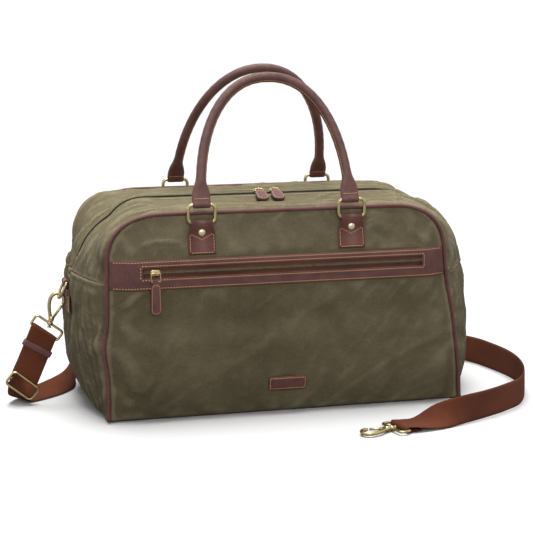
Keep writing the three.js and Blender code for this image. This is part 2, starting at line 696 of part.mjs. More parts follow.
// The clipped hook hangs on the bow of the left D ring
const hookAxis = new THREE.Vector3(Math.sin(radians(HOOK_LEAN)), 0, Math.cos(radians(HOOK_LEAN)));
const hookSide = new THREE.Vector3(hookAxis.z, 0, -hookAxis.x);
const bow = new THREE.Vector3(0, 0, -D_RING.drop).applyAxisAngle(new THREE.Vector3(0, 1, 0), radians(D_LEAN))
  .add(new THREE.Vector3(leftPivot, 0, D_RING.pivotZ));
const clipped = new THREE.Group();
clipped.position.copy(bow).addScaledVector(hookSide, -3).addScaledVector(hookAxis, -33);
clipped.rotation.y = radians(HOOK_LEAN);
addHook('left', clipped, radians(LOOP_LEAN - HOOK_LEAN));

// The free hook lies flat on the floor in front of the bag
const freeAxis = new THREE.Vector3(-0.96, -0.28, 0).normalize();
const down = new THREE.Vector3(0, 0, -1);
const free = new THREE.Group();
free.position.set(111.5, -232, 4.6);
free.quaternion.setFromRotationMatrix(
  new THREE.Matrix4().makeBasis(new THREE.Vector3().crossVectors(down, freeAxis), down, freeAxis),
);
addHook('free', free, 0);

// ---------------------------------------------------------------- shoulder strap

// Pairs of points, one on each edge of the webbing, turning half round the bar of a hook's loop
function turnRoundBar(bar, across, away, over) {
  const reach = STRAP_WIRE + 0.8 + WEBBING_THICKNESS / 2;
  return evenly(-Math.PI / 2, Math.PI / 2, 4).map((angle) => {
    const middle = bar.clone().addScaledVector(away, reach * Math.cos(angle))
      .addScaledVector(over, reach * Math.sin(angle));
    return [
      middle.clone().addScaledVector(across, -WEBBING / 2),
      middle.clone().addScaledVector(across, WEBBING / 2),
    ];
  });
}

const point = (x, y, z) => new THREE.Vector3(x, y, z);

// Flat webbing between two edges, given as pairs of points
function ribbon(pairs, stepsPerPair) {
  const near = new THREE.CatmullRomCurve3(pairs.map(([a]) => a));
  const far = new THREE.CatmullRomCurve3(pairs.map(([, b]) => b));
  const half = WEBBING_THICKNESS / 2;
  const outline = strip([0, 1], -half, half);
  const place = (fraction, corner) => {
    const across = far.getPoint(fraction).sub(near.getPoint(fraction));
    const normal = near.getTangent(fraction).add(far.getTangent(fraction)).cross(across).normalize();
    return near.getPoint(fraction).addScaledVector(across, corner.x).addScaledVector(normal, corner.y);
  };
  return loft(outline, stepsPerPair * (pairs.length - 1), place);
}

const loopUp = new THREE.Vector3(Math.sin(radians(LOOP_LEAN)), 0, Math.cos(radians(LOOP_LEAN)));
const loopAcross = new THREE.Vector3(loopUp.z, 0, -loopUp.x);
const leftBar = clipped.position.clone().addScaledVector(hookAxis, EYE_DROP).addScaledVector(loopUp, -LOOP_RISE);
const freeBar = free.position.clone().addScaledVector(freeAxis, EYE_DROP - LOOP_RISE);
const freeAcross = new THREE.Vector3(-freeAxis.y, freeAxis.x, 0);

// The adjuster at the foot of the hanging webbing
const ADJUSTER = { x: -331, y: -5.6, z: 28, lean: 40, width: 42, height: 20 };
const dropAlong = point(ADJUSTER.x, 0, ADJUSTER.z).sub(leftBar).setY(0).normalize();

// A pair of edge points on the hanging webbing, at a distance below the loop and in a layer along Y
function dropPair(distance, y) {
  const middle = leftBar.clone().addScaledVector(dropAlong, distance).setY(y);
  return [
    middle.clone().addScaledVector(loopAcross, -WEBBING / 2),
    middle.clone().addScaledVector(loopAcross, WEBBING / 2),
  ];
}

// The webbing: round the clipped loop, down through the adjuster, round behind the bag on its edge,
// and flat on the floor to the free hook
const EDGE = 1.8;             // height of the lower edge above the floor
const strapPairs = [
  dropPair(74, -2.6), dropPair(50, -2.6), dropPair(24, -2.6), dropPair(8, -3.1),
  ...turnRoundBar(leftBar, loopAcross, loopUp, point(0, 1, 0)),
  dropPair(8, 3.1), dropPair(24, 2), dropPair(50, 2), dropPair(72, 2.4),
  [point(-350, 6, 19.5), point(-320, 4, 5.5)],
  [point(-343, 17, 12), point(-316, 6, EDGE)],
  [point(-327, 32, 18), point(-300, 13, EDGE)],
  [point(-296, 58, 23), point(-275, 34, EDGE)],
  [point(-266, 82, 29), point(-257, 58, EDGE)],
  [point(-253, 104, 34), point(-250, 84, EDGE)],
  [point(-248.5, 122, 37), point(-247.5, 110, EDGE)],
  [point(-232, 144, 39), point(-234, 140, EDGE)],
  [point(-186, 158, 39), point(-186, 157, EDGE)],
  [point(-60, 166, 39), point(-60, 167, EDGE)],
  [point(60, 165, 39), point(60, 167, EDGE)],
  [point(180, 157, 39), point(180, 159, EDGE)],
  [point(276, 126, 39), point(274, 126, EDGE)],
  [point(334, 73, 39), point(330, 66, EDGE)],
  [point(354, 20, 39), point(350, 14, EDGE)],
  [point(361, -42, 39), point(360, -46, EDGE)],
  [point(348, -108, 39), point(349, -108, EDGE)],
  [point(320, -160, 39), point(322, -159, EDGE)],
  [point(286, -187, 39), point(290, -186, EDGE)],
  [point(252, -205, 38), point(256, -206, EDGE)],
  [point(212, -220, 37), point(216, -226, EDGE)],
  [point(180, -214, 27), point(186, -238, 1.6)],
  [point(155, -205, 8.5), point(164, -243, 4.6)],
  [point(138, -208, 7.5), point(147, -245, 7.3)],
  ...turnRoundBar(freeBar, freeAcross, freeAxis, down),
  [point(133.5, -206.4, 1.7), point(144, -243, 1.7)],
  [point(143, -203.5, 1.7), point(153.5, -240, 1.7)],
];
add('strap_webbing', 'webbing', ribbon(strapPairs, 2));

// A sewn leather band that keeps the two layers of webbing together
function strapKeeper() {
  const outer = roundedRectangle(WEBBING + 6, 10.4, 2.5);
  outer.holes.push(roundedRectangle(WEBBING + 2.8, 7.4, 1.2, THREE.Path));
  return new THREE.ExtrudeGeometry(outer, { depth: 8, curveSegments: 3, bevelEnabled: false })
    .translate(0, 0, -4);
}

const keeper = add('strap_keeper', 'leather', strapKeeper());
keeper.position.copy(leftBar).addScaledVector(dropAlong, 23).setY(-0.3);
keeper.rotation.y = radians(LOOP_LEAN - 6);

// The metal adjuster: a rounded frame with a middle bar
function strapAdjuster() {
  const frame = rectangleLoop(ADJUSTER.width, ADJUSTER.height, 5, STRAP_WIRE);
  return join(frame, rod('x', STRAP_WIRE - 0.4, ADJUSTER.width, [0, 0, 0], 8)).rotateX(Math.PI / 2);
}

const adjuster = add('strap_adjuster', 'brass', strapAdjuster());
adjuster.position.set(ADJUSTER.x, ADJUSTER.y, ADJUSTER.z);
adjuster.rotation.y = radians(ADJUSTER.lean);

export default bag;
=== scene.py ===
import json
import math

import bmesh
import bpy
import numpy as np
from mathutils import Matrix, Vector, noise
from mathutils.bvhtree import BVHTree


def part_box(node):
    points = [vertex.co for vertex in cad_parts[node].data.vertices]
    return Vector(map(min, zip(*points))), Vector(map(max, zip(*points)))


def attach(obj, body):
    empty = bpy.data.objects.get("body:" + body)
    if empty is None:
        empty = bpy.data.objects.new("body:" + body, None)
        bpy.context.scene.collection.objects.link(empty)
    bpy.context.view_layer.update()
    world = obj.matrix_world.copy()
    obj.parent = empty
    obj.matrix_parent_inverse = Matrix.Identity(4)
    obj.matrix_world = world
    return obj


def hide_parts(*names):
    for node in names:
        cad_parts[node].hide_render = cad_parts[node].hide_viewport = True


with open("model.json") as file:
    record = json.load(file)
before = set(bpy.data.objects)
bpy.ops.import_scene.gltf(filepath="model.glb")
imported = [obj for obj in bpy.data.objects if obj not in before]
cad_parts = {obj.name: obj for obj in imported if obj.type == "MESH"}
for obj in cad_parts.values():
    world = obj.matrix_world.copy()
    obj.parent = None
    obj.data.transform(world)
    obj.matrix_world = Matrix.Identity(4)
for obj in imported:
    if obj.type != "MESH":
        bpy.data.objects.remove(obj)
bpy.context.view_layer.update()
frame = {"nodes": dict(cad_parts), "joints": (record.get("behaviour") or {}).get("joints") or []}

MM = 0.001
SIDES = {"front": -1, "back": 1}
HANDS = {"left": -1, "right": 1}


def low(node):
    return np.array(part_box(node)[0]) / MM


def high(node):
    return np.array(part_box(node)[1]) / MM


def middle(node):
    return (low(node) + high(node)) / 2


# ---------------------------------------------------------------- materials

class Nodes:
    """A material's node tree, with short calls for the nodes used here."""

    def __init__(self, name):
        self.material = bpy.data.materials.new(name)
        self.material.use_nodes = True
        self.tree = self.material.node_tree
        self.shader = self.tree.nodes["Principled BSDF"]
        coordinates = self.tree.nodes.new("ShaderNodeTexCoord")
        self.place = coordinates.outputs["Object"]
        self.uv = coordinates.outputs["UV"]

    def link(self, value, socket):
        if isinstance(value, bpy.types.NodeSocket):
            self.tree.links.new(value, socket)
        else:
            socket.default_value = value

    def new(self, kind, output=0, **inputs):
        node = self.tree.nodes.new("ShaderNode" + kind)
        for key, value in inputs.items():
            if key in node.inputs:
                self.link(value, node.inputs[key])
            else:
                setattr(node, key, value)
        return node.outputs[output]

    def stretched(self, x, y, z, source=None):
        node = self.tree.nodes.new("ShaderNodeMapping")
        self.link(source or self.place, node.inputs["Vector"])
        node.inputs["Scale"].default_value = (x, y, z)
        return node.outputs["Vector"]

    def noise(self, scale, detail=2.0, vector=None, roughness=0.5):
        return self.new("TexNoise", 0, Vector=vector or self.place, Scale=scale, Detail=detail,
                        Roughness=roughness)

    def ramp(self, value, low_at, high_at, low_to=0.0, high_to=1.0):
        node = self.tree.nodes.new("ShaderNodeMapRange")
        for key, number in zip(("From Min", "From Max", "To Min", "To Max"),
                               (low_at, high_at, low_to, high_to)):
            node.inputs[key].default_value = number
        self.link(value, node.inputs["Value"])
        return node.outputs[0]

    def math(self, operation, a, b=0.0):
        node = self.tree.nodes.new("ShaderNodeMath")
        node.operation = operation
        self.link(a, node.inputs[0])
        self.link(b, node.inputs[1])
        return node.outputs[0]

    def mix(self, factor, a, b, blend="MIX"):
        node = self.tree.nodes.new("ShaderNodeMix")
        node.data_type = "RGBA"
        node.blend_type = blend
        self.link(factor, node.inputs[0])
        self.link(a, node.inputs[6])
        self.link(b, node.inputs[7])
        return node.outputs[2]

    def bump(self, height, distance, strength=1.0, normal=None):
        node = self.tree.nodes.new("ShaderNodeBump")
        node.inputs["Strength"].default_value = strength
        node.inputs["Distance"].default_value = distance
        self.link(height, node.inputs["Height"])
        if normal is not None:
            self.link(normal, node.inputs["Normal"])
        return node.outputs[0]

    def finish(self, color, roughness, normal=None, **inputs):
        self.link(color, self.shader.inputs["Base Color"])
        self.link(roughness, self.shader.inputs["Roughness"])
        if normal is not None:
            self.link(normal, self.shader.inputs["Normal"])
        for key, value in inputs.items():
            self.link(value, self.shader.inputs[key.replace("_", " ")])
        return self.material


BLACK = (0, 0, 0, 1)
CLOTH_SHINE = 0.06


def rgb(red, green, blue):
    """A colour from its usual 0 to 255 numbers, as the linear colour that the shaders use."""
    def linear(value):
        value /= 255
        return value / 12.92 if value <= 0.04045 else ((value + 0.055) / 1.055) ** 2.4
    return (linear(red), linear(green), linear(blue), 1.0)


def canvas_material(name, base, faded_and_lit, top_fade_and_light):
    """Waxed cotton: crossed slubby threads, faintly dusted, paler towards the top from fading and
    painted top light, with a painted highlight on the ridges of folds.
    """
    n = Nodes(name)
    warp = n.noise(900, 2, n.stretched(1, 1, 0.16))
    weft = n.noise(900, 2, n.stretched(0.16, 0.16, 1))
    weave = n.math("ADD", warp, weft)
    patches = n.noise(7, 3, roughness=0.5)
    rub = n.noise(34, 5, roughness=0.7)
    height = n.new("SeparateXYZ", 2, Vector=n.place)
    # The height ramp makes the canvas paler towards the top: partly fading, partly painted top
    # light standing for the light from above.
    dust_and_top_light = n.math("ADD", n.ramp(patches, 0.38, 0.68, 0.0, 0.3),
                  n.ramp(height, 0.14, 0.29, 0.0, top_fade_and_light))
    dust_and_top_light = n.math("ADD", dust_and_top_light, n.ramp(rub, 0.45, 0.72, 0.0, 0.22))
    # Painted highlight: the canvas is made paler on the convex ridges of its folds, where light
    # would catch them.
    ridge_highlight = n.ramp(n.new("NewGeometry", "Pointiness"), 0.502, 0.53, 0.0, 0.6)
    color = n.mix(n.math("ADD", dust_and_top_light, ridge_highlight), base, faded_and_lit)
    color = n.mix(n.ramp(weave, 0.75, 1.25, 0.0, 0.35), color, n.mix(0.5, color, BLACK))
    normal = n.bump(weave, 0.0006, 0.5, n.bump(rub, 0.003, 0.35))
    return n.finish(color, 0.92, normal, Sheen_Weight=0.04, Sheen_Roughness=0.5,
                    Specular_IOR_Level=CLOTH_SHINE)


def leather_material(name, base, pale, grain=620, roughness=0.46):
    """Pebbled leather: cells of grain, mottled colour, rubbed along its edges."""
    n = Nodes(name)
    cells = n.new("TexVoronoi", "Distance", Vector=n.place, Scale=grain, feature="DISTANCE_TO_EDGE")
    pebbles = n.ramp(cells, 0.0, 0.22)
    fine = n.noise(2600, 3)
    mottle = n.noise(45, 5, roughness=0.65)
    rubbed = n.ramp(n.new("NewGeometry", "Pointiness"), 0.52, 0.62, 0.0, 0.55)
    color = n.mix(n.math("ADD", n.ramp(mottle, 0.35, 0.72, 0.0, 0.65), rubbed), base, pale)
    color = n.mix(n.ramp(pebbles, 0.0, 1.0, 0.42, 0.0), color, n.mix(0.7, color, BLACK))
    normal = n.bump(fine, 0.0002, 0.3, n.bump(pebbles, 0.0004, 0.6, n.bump(mottle, 0.002, 0.25)))
    shine = n.ramp(mottle, 0.3, 0.7, roughness - 0.06, roughness + 0.1)
    return n.finish(color, shine, normal, Specular_IOR_Level=0.5, Coat_Weight=0.06,
                    Coat_Roughness=0.3)


def metal_material(name, base, dark, roughness):
    """Plated metal, brushed and slightly tarnished in its corners."""
    n = Nodes(name)
    tarnish = n.noise(160, 5, roughness=0.7)
    scratches = n.noise(1200, 2, n.stretched(1, 1, 0.08))
    color = n.mix(n.ramp(tarnish, 0.45, 0.75, 0.0, 0.7), base, dark)
    shine = n.math("ADD", n.ramp(tarnish, 0.3, 0.8, roughness - 0.05, roughness + 0.14),
                   n.ramp(scratches, 0.4, 0.8, 0.0, 0.08))
    return n.finish(color, shine, n.bump(scratches, 0.0001, 0.25), Metallic=1.0)


def webbing_material(name, base, dark):
    """Ribbed webbing: ribs run along it (UV x is the length and y the width, in millimetres)."""
    n = Nodes(name)
    ribs = n.new("TexWave", "Fac", Vector=n.stretched(0.04, 0.34, 0.0, n.uv), Scale=1.0,
                 Distortion=0.0, bands_direction="Y")
    picks = n.new("TexWave", "Fac", Vector=n.stretched(0.5, 0.02, 0.0, n.uv), Scale=1.0,
                  Distortion=0.6, Detail=1.0, bands_direction="X")
    fuzz = n.noise(700, 4, roughness=0.7)
    patches = n.noise(14, 3)
    color = n.mix(n.ramp(patches, 0.35, 0.7), base, dark)
    shade = n.math("MULTIPLY", n.ramp(picks, 0.0, 0.7, 0.5, 0.0), n.ramp(fuzz, 0.3, 0.6))
    color = n.mix(shade, color, n.mix(0.55, color, BLACK))
    height = n.math("ADD", n.math("MULTIPLY", ribs, picks), n.math("MULTIPLY", fuzz, 0.5))
    return n.finish(color, 0.88, n.bump(height, 0.0006, 0.7), Sheen_Weight=0.04,
                    Specular_IOR_Level=CLOTH_SHINE)


def thread_material(name, base, dark):
    """Thread or cord, mottled by its strands."""
    n = Nodes(name)
    strands = n.noise(1500, 2)
    color = n.mix(n.ramp(strands, 0.35, 0.65), base, dark)
    return n.finish(color, 0.7, n.bump(strands, 0.0002, 0.5))


OLIVE = rgb(97, 88, 67)
# The pale olive that the canvas is mixed towards, for its fading and dust and also for its painted
# top light and the painted highlight on its folds.
OLIVE_FADED_AND_LIT = rgb(146, 136, 108)
MATERIALS = {
    "canvas": canvas_material("olive_canvas", OLIVE, OLIVE_FADED_AND_LIT, 0.4),
    "leather": leather_material("red_brown_leather", rgb(88, 45, 40), rgb(134, 84, 75), 620, 0.4),
    # The handles' leather is a little paler than the other leather: partly its own tone, partly
    # painted light for the raised handles that catch the light from above.
    "handle": leather_material("handle_leather", rgb(94, 52, 46), rgb(140, 90, 80), 760, 0.36),
    "piping": leather_material("piping_leather", rgb(92, 42, 38), rgb(132, 76, 70), 900, 0.42),
    "lining": canvas_material("lining_cotton", rgb(70, 62, 52), rgb(96, 86, 72), 0.0),
    "brass": metal_material("antique_brass", rgb(200, 182, 136), rgb(108, 92, 64), 0.25),
    "teeth": metal_material("dull_bronze", rgb(124, 110, 92), rgb(70, 60, 50), 0.42),
    "dark_teeth": metal_material("dark_zip_teeth", rgb(66, 62, 54), rgb(38, 35, 30), 0.5),
    "rivet": metal_material("pale_rivet", rgb(226, 216, 184), rgb(186, 172, 134), 0.3),
    "webbing": webbing_material("brown_webbing", rgb(124, 70, 48), rgb(96, 53, 37)),
    "tape": webbing_material("pocket_zip_tape", rgb(136, 90, 74), rgb(108, 72, 58)),
    "dark_tape": webbing_material("main_zip_tape", rgb(34, 34, 30), rgb(24, 24, 21)),
    "thread": thread_material("tan_thread", rgb(255, 206, 140), rgb(238, 176, 110)),
    "dark_thread": thread_material("olive_thread", rgb(92, 84, 66), rgb(66, 60, 46)),
    "board": leather_material("base_board_sheet", rgb(52, 50, 48), rgb(70, 68, 66), 300, 0.6),
    "rope": thread_material("cotton_rope", rgb(190, 174, 146), rgb(150, 132, 104)),
}

# ---------------------------------------------------------------- mesh helpers

ALL_ROUND = 2 * math.pi


def add_object(name, data):
    """A new object in the scene that holds the data."""
    added = bpy.data.objects.new(name, data)
    bpy.context.scene.collection.objects.link(added)
    return added


def mesh_of(name, verts, faces):
    mesh = bpy.data.meshes.new(name)
    mesh.from_pydata([tuple(v) for v in verts], [], [tuple(f) for f in faces])
    return mesh


def circle(count):
    """Evenly spaced angles all the way round."""
    return np.linspace(0, ALL_ROUND, count, endpoint=False)


def path_lengths(points):
    """How far along a polyline each of its points is."""
    return np.concatenate([[0], np.cumsum(np.linalg.norm(np.diff(points, axis=0), axis=1))])


def leaning(turn):
    """X, Y and Z axes turned about Y, so that Z leans towards +X."""
    return (math.cos(turn), 0, -math.sin(turn)), (0, 1, 0), (math.sin(turn), 0, math.cos(turn))


def make(name, verts, faces, material, body, replaces=(), uvs=None):
    """A piece from vertices in millimetres. It rides on a body and may stand for CAD nodes."""
    mesh = mesh_of(name, np.asarray(verts, float) * MM, faces)
    if uvs is not None:
        layer = mesh.uv_layers.new(name="UVMap")
        loops = np.zeros(len(mesh.loops), int)
        mesh.loops.foreach_get("vertex_index", loops)
        layer.data.foreach_set("uv", np.asarray(uvs, float)[loops].ravel())
    work = bmesh.new()
    work.from_mesh(mesh)
    bmesh.ops.recalc_face_normals(work, faces=work.faces)
    work.to_mesh(mesh)
    work.free()
    mesh.polygons.foreach_set("use_smooth", [True] * len(mesh.polygons))
    mesh.materials.append(MATERIALS[material])
    piece = add_object(name, mesh)
    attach(piece, body)
    if replaces:
        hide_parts(*replaces)
    return piece


def merge(*shapes):
    """Several (vertices, faces) as one."""
    verts, faces, count = [], [], 0
    for some_verts, some_faces in shapes:
        verts.append(np.asarray(some_verts, float))
        faces += [tuple(int(i) + count for i in face) for face in some_faces]
        count += len(some_verts)
    return np.concatenate(verts), faces


def skin(sections, closed=False):
    """Outlines with the same number of points, joined in order into a closed body."""
    rows, count = len(sections), len(sections[0])
    faces = []
    for r in range(rows if closed else rows - 1):
        here, there = r * count, ((r + 1) % rows) * count
        for i in range(count):
            j = (i + 1) % count
            faces.append((here + i, here + j, there + j, there + i))
    if not closed:
        faces.append(tuple(range(count)))
        faces.append(tuple((rows - 1) * count + i for i in range(count)))
    return np.concatenate(sections), faces


def unit(vectors):
    vectors = np.asarray(vectors, float)
    return vectors / np.maximum(np.linalg.norm(vectors, axis=-1, keepdims=True), 1e-9)


def tangents(points, closed=False):
    points = np.asarray(points, float)
    if closed:
        return unit(np.roll(points, -1, 0) - np.roll(points, 1, 0))
    return unit(np.gradient(points, axis=0))


def tube(points, radius, sides=12, closed=False):
    """A round wire along points; radius is a number or one for each point."""
    points = np.asarray(points, float)
    along = tangents(points, closed)
    radii = np.broadcast_to(radius, len(points))
    across = np.cross(along[0], (0.31, 0.17, 0.93))
    sections = []
    angles = circle(sides)
    for point, tangent, r in zip(points, along, radii):
        across = unit(across - tangent * (across @ tangent))
        other = np.cross(tangent, across)
        ring = np.outer(np.cos(angles), across) + np.outer(np.sin(angles), other)
        sections.append(point + r * ring)
    return skin(sections, closed)


def rounded(width, height, radius, steps=5):
    """The outline of a rectangle with rounded corners, in the XY plane."""
    points = []
    for quarter, (sx, sy) in enumerate([(1, -1), (1, 1), (-1, 1), (-1, -1)]):
        centre = np.array([sx * (width / 2 - radius), sy * (height / 2 - radius)])
        for step in range(steps + 1):
            angle = (quarter - 1 + step / steps) * math.pi / 2
            points.append(centre + radius * np.array([math.cos(angle), math.sin(angle)]))
    return np.array(points)


def inset(outline, distance):
    """An outline moved inwards; it runs anticlockwise."""
    along = unit(np.roll(outline, -1, 0) - np.roll(outline, 1, 0))
    return outline + distance * np.stack([-along[:, 1], along[:, 0]], 1)


def seam_line(outline, distance):
    """The closed line of a seam that runs inside an outline."""
    line = inset(outline, distance)
    return np.vstack([line, line[:1]])


def slab(outline, bottom, top, edge=0.5, crown=0.0):
    """A plate with rounded edges and, if crowned, a slightly padded middle."""
    layers = [(edge, bottom), (0.3 * edge, bottom + 0.3 * edge), (0, bottom + edge),
              (0, top - edge), (0.3 * edge, top - 0.3 * edge), (edge, top),
              (edge + 1.6, top + crown)]
    return skin([np.column_stack([inset(outline, d), np.full(len(outline), z)]) for d, z in layers])


def turned(shape, origin, x_axis, y_axis, z_axis):
    """A (vertices, faces) shape placed with its own axes along the given ones."""
    verts, faces = shape
    axes = np.array([x_axis, y_axis, z_axis], float)
    return np.asarray(verts, float) @ axes + np.asarray(origin, float), faces


def lathe(profile, sides=20):
    """A body of revolution about Z from (radius, height) points that start and end on the axis."""
    angles = circle(sides)
    ring = np.stack([np.cos(angles), np.sin(angles)], 1)
    return skin([np.column_stack([ring * max(r, 0.01), np.full(sides, z)]) for r, z in profile])


def points_at(points, lengths, at):
    """Points on a polyline at the given distances along it."""
    return np.stack([np.interp(at, lengths, column) for column in np.asarray(points).T], 1)


def along_path(points, spacing, start=0.0, end=0.0):
    """Evenly spaced points on a polyline, with their directions and the fraction of its length."""
    points = np.asarray(points, float)
    lengths = path_lengths(points)
    span = lengths[-1] - start - end
    count = max(1, round(span / spacing))
    at = start + (np.arange(count) + 0.5) * span / count
    ahead, behind = (points_at(points, lengths, at + step) for step in (0.5, -0.5))
    return points_at(points, lengths, at), unit(ahead - behind)


# Kinds of stitching as (pitch, length, radius, height of the thread above the surface)
SEWN = {
    "band": (3.9, 1.8, 0.68, 0.2), "label": (3.1, 2.2, 0.4, 0.2), "zip": (3.2, 2.2, 0.34, 0),
    "puller": (2.9, 2.1, 0.34, 0.05), "patch": (3.6, 2.2, 0.56, 0.2),
    "handle": (3.8, 2.7, 0.42, 0.1), "handle_end": (3.2, 2.3, 0.42, 0.25),
    "tab": (3.2, 2.3, 0.42, 0.15), "webbing": (2.6, 1.9, 0.35, 1.0),
}
# One stitch from end to end as (share of its length, share of its radius, rise in radii)
STITCH = ((-0.5, 0.3, -0.4), (-0.32, 0.9, 0), (0.32, 0.9, 0), (0.5, 0.3, -0.4))


def stitches(kind, points, normals_at, start=0.0, end=0.0):
    """Short threads along a line, each lying on the surface whose normal is given for a point."""
    pitch, length, radius, raise_by = SEWN[kind]
    places, directions = along_path(points, pitch, start, end)
    shapes = []
    angles = circle(6)
    for place, direction in zip(places, directions):
        normal = unit(normals_at(place))
        across = unit(np.cross(direction, normal))
        rows = []
        for t, r, lift in STITCH:
            centre = place + direction * length * t + normal * (raise_by + lift * radius)
            rows.append(centre + radius * r * (np.outer(np.cos(angles), across)
                                               + 0.75 * np.outer(np.sin(angles), normal)))
        shapes.append(skin(rows))
    return merge(*shapes)


def smoothstep(value):
    value = np.clip(value, 0, 1)
    return value * value * (3 - 2 * value)


# ---------------------------------------------------------------- the shape of the bag

BASE_HALF = 240
SHOULDER_HALF = 226
SHOULDER_Z = 203
CORNER_ACROSS = 80
CORNER_UP = 68
CORNER_POWER = 2.55           # corners are squarer than an ellipse
RIM_TOP = SHOULDER_Z + CORNER_UP
HALF_DEPTH = 114
FACE_BELLY = 10
ZIP_RIDGE = 8
SEAM_Z = 181
FOOT = 7                      # radius of the soft bottom edge
CELL = 6.4                    # size of the cloth's cells before they are refined
BAND = (176.6, 214.6)
SLOT = {"left": -184, "right": 189, "bottom": 192, "top": 205}
HOLE = (189, 208)             # of the canvas behind the pocket's zip
ZIP_EDGE = 7                  # half width of the gap that the top zip closes
ZIP_ZONE = 45                 # half width of the top that the zip lifts
REAR_START = 15               # depth from which the rear half of an end may stand out more
CUBIC_PEAK = 27 / 4           # makes the greatest value of t * t * (1 - t) one


def lean(z):
    """The bag slumps: its base stands a little to the right of its top."""
    return -2.5 + 13.5 * (1 - min(1, z / 225)) ** 1.2


def rim_profile():
    """Half widths and heights up one end, from the base to the start of the straight top."""
    wall = [(BASE_HALF + (SHOULDER_HALF - BASE_HALF) * t, SHOULDER_Z * t)
            for t in np.linspace(0, 1, 200)]
    corner = []
    for angle in np.linspace(0, math.pi / 2, 120)[1:]:
        across = math.cos(angle) ** (2 / CORNER_POWER) if angle < math.pi / 2 - 1e-6 else 0
        up = math.sin(angle) ** (2 / CORNER_POWER)
        corner.append((SHOULDER_HALF - CORNER_ACROSS * (1 - across), SHOULDER_Z + CORNER_UP * up))
    return np.array(wall + corner)


def spaced(line, breaks, cell):
    """Points along the profile about a cell apart, with one at each break in height."""
    lengths = path_lengths(line)
    stops = [0, *np.interp(breaks, line[:, 1], lengths), lengths[-1]]
    at = []
    for a, b in zip(stops, stops[1:]):
        count = max(1, round((b - a) / cell))
        at += list(np.linspace(a, b, count, endpoint=False))
    at.append(stops[-1])
    return points_at(line, lengths, at)


PROFILE = spaced(rim_profile(), [BAND[0], HOLE[0], HOLE[1], BAND[1]], CELL)


def half_at(z):
    return float(np.interp(z, PROFILE[:, 1], PROFILE[:, 0]))


def face_belly(x, z):
    from_side = (1 - abs(x - lean(z)) / half_at(min(z, RIM_TOP - 0.1))) / 0.14
    fullness = smoothstep(from_side) * smoothstep(z / 60) * smoothstep((RIM_TOP - z) / 70)
    return FACE_BELLY * float(fullness)


def on_face(side, x, z, offset=0.0):
    return np.array([x, side * (HALF_DEPTH + face_belly(x, z) + offset), z])


# How far each end stands proud of the piping. The columns are the height, the left end,
# the right end, and what is added in the rear half of the left and of the right end.
END_BELLIES = np.array([
    (0, 5, 7, 2, 0), (17, 14, 21, 6, 0), (35, 24, 35, 9, 0), (60, 31, 45, 11, 0),
    (100, 35, 50, 11, 0), (150, 35, 50, 7, 0), (172, 35, 48, 2, 0), (193, 28, 46, 3, 0),
    (206, 23, 44, 5, 0), (217, 17, 39, 9, 2), (231, 9, 28, 14, 3), (245, 2, 16, 17, 7),
    (256, -2, 9, 16, 12), (265, -2, 3, 10, 12), (RIM_TOP, 0, 0, 2, 3),
])
EASE = 6                      # millimetres of height on each side that the table is averaged over
HEIGHTS = np.arange(RIM_TOP + 1)


def eased(column):
    """A column of the table for each whole millimetre of height, with its corners rounded off."""
    values = np.interp(HEIGHTS, END_BELLIES[:, 0], END_BELLIES[:, column])
    window = 2 * EASE + 1
    for _ in range(2):
        padded = np.pad(values, EASE, mode="reflect", reflect_type="odd")
        values = np.convolve(padded, np.full(window, 1 / window), mode="valid")
    return values


END_SHAPES = {"left": (eased(1), eased(3)), "right": (eased(2), eased(4))}


def gusset_belly(hand, y, z):
    """How far the gusset stands out of the line of the piping."""
    across = y / HALF_DEPTH
    belly, behind = (np.interp(z, HEIGHTS, values) for values in END_SHAPES[hand])
    back = max(0, (y - REAR_START) / (HALF_DEPTH - REAR_START))
    ridge = (1 - float(smoothstep(abs(y) / ZIP_ZONE))) * float(smoothstep((z - 252) / 19))
    return (belly * (1 - across ** 2) + behind * CUBIC_PEAK * back ** 2 * (1 - back)
            + ZIP_RIDGE * ridge)


TOP_CELLS = 46
# Depths of the gusset's grid lines, closer together near the zip
STATIONS = np.concatenate([
    np.linspace(-HALF_DEPTH, -ZIP_ZONE, 11)[:-1], np.linspace(-ZIP_ZONE, -ZIP_EDGE, 7)[:-1],
    np.linspace(-ZIP_EDGE, ZIP_EDGE, 3)[:-1],
    np.linspace(ZIP_EDGE, ZIP_ZONE, 7)[:-1], np.linspace(ZIP_ZONE, HALF_DEPTH, 11),
])
LAST = len(STATIONS) - 1


def rim_line():
    """The line of the piping as (x, z): up the left end, over the top and down the right end."""
    left = [(lean(z) - half, z) for half, z in PROFILE]
    top_half = PROFILE[-1][0]
    over = [(lean(RIM_TOP) + top_half * t, RIM_TOP)
            for t in np.linspace(-1, 1, TOP_CELLS + 1)[1:-1]]
    right = [(lean(z) + half, z) for half, z in PROFILE[::-1]]
    return np.array(left + over + right)


RIM = rim_line()
RIM_OUT = tangents(RIM) @ np.array([[0, 1], [-1, 0]])      # outward, to the left of the line


def gusset_point(k, y, offset=0.0):
    """A point on the gusset at the k-th station of the rim."""
    hand = "left" if k <= len(RIM) / 2 else "right"
    x, z = RIM[k]
    out = gusset_belly(hand, y, z) + offset
    return np.array([x + RIM_OUT[k][0] * out, y, z + RIM_OUT[k][1] * out])


PARTS = ["canvas_front", "canvas_back", "canvas_end_left", "canvas_end_right",
         "canvas_top_front", "canvas_top_back", "canvas_base", "open"]
FLAT_PARTS = ("canvas_front", "canvas_back")


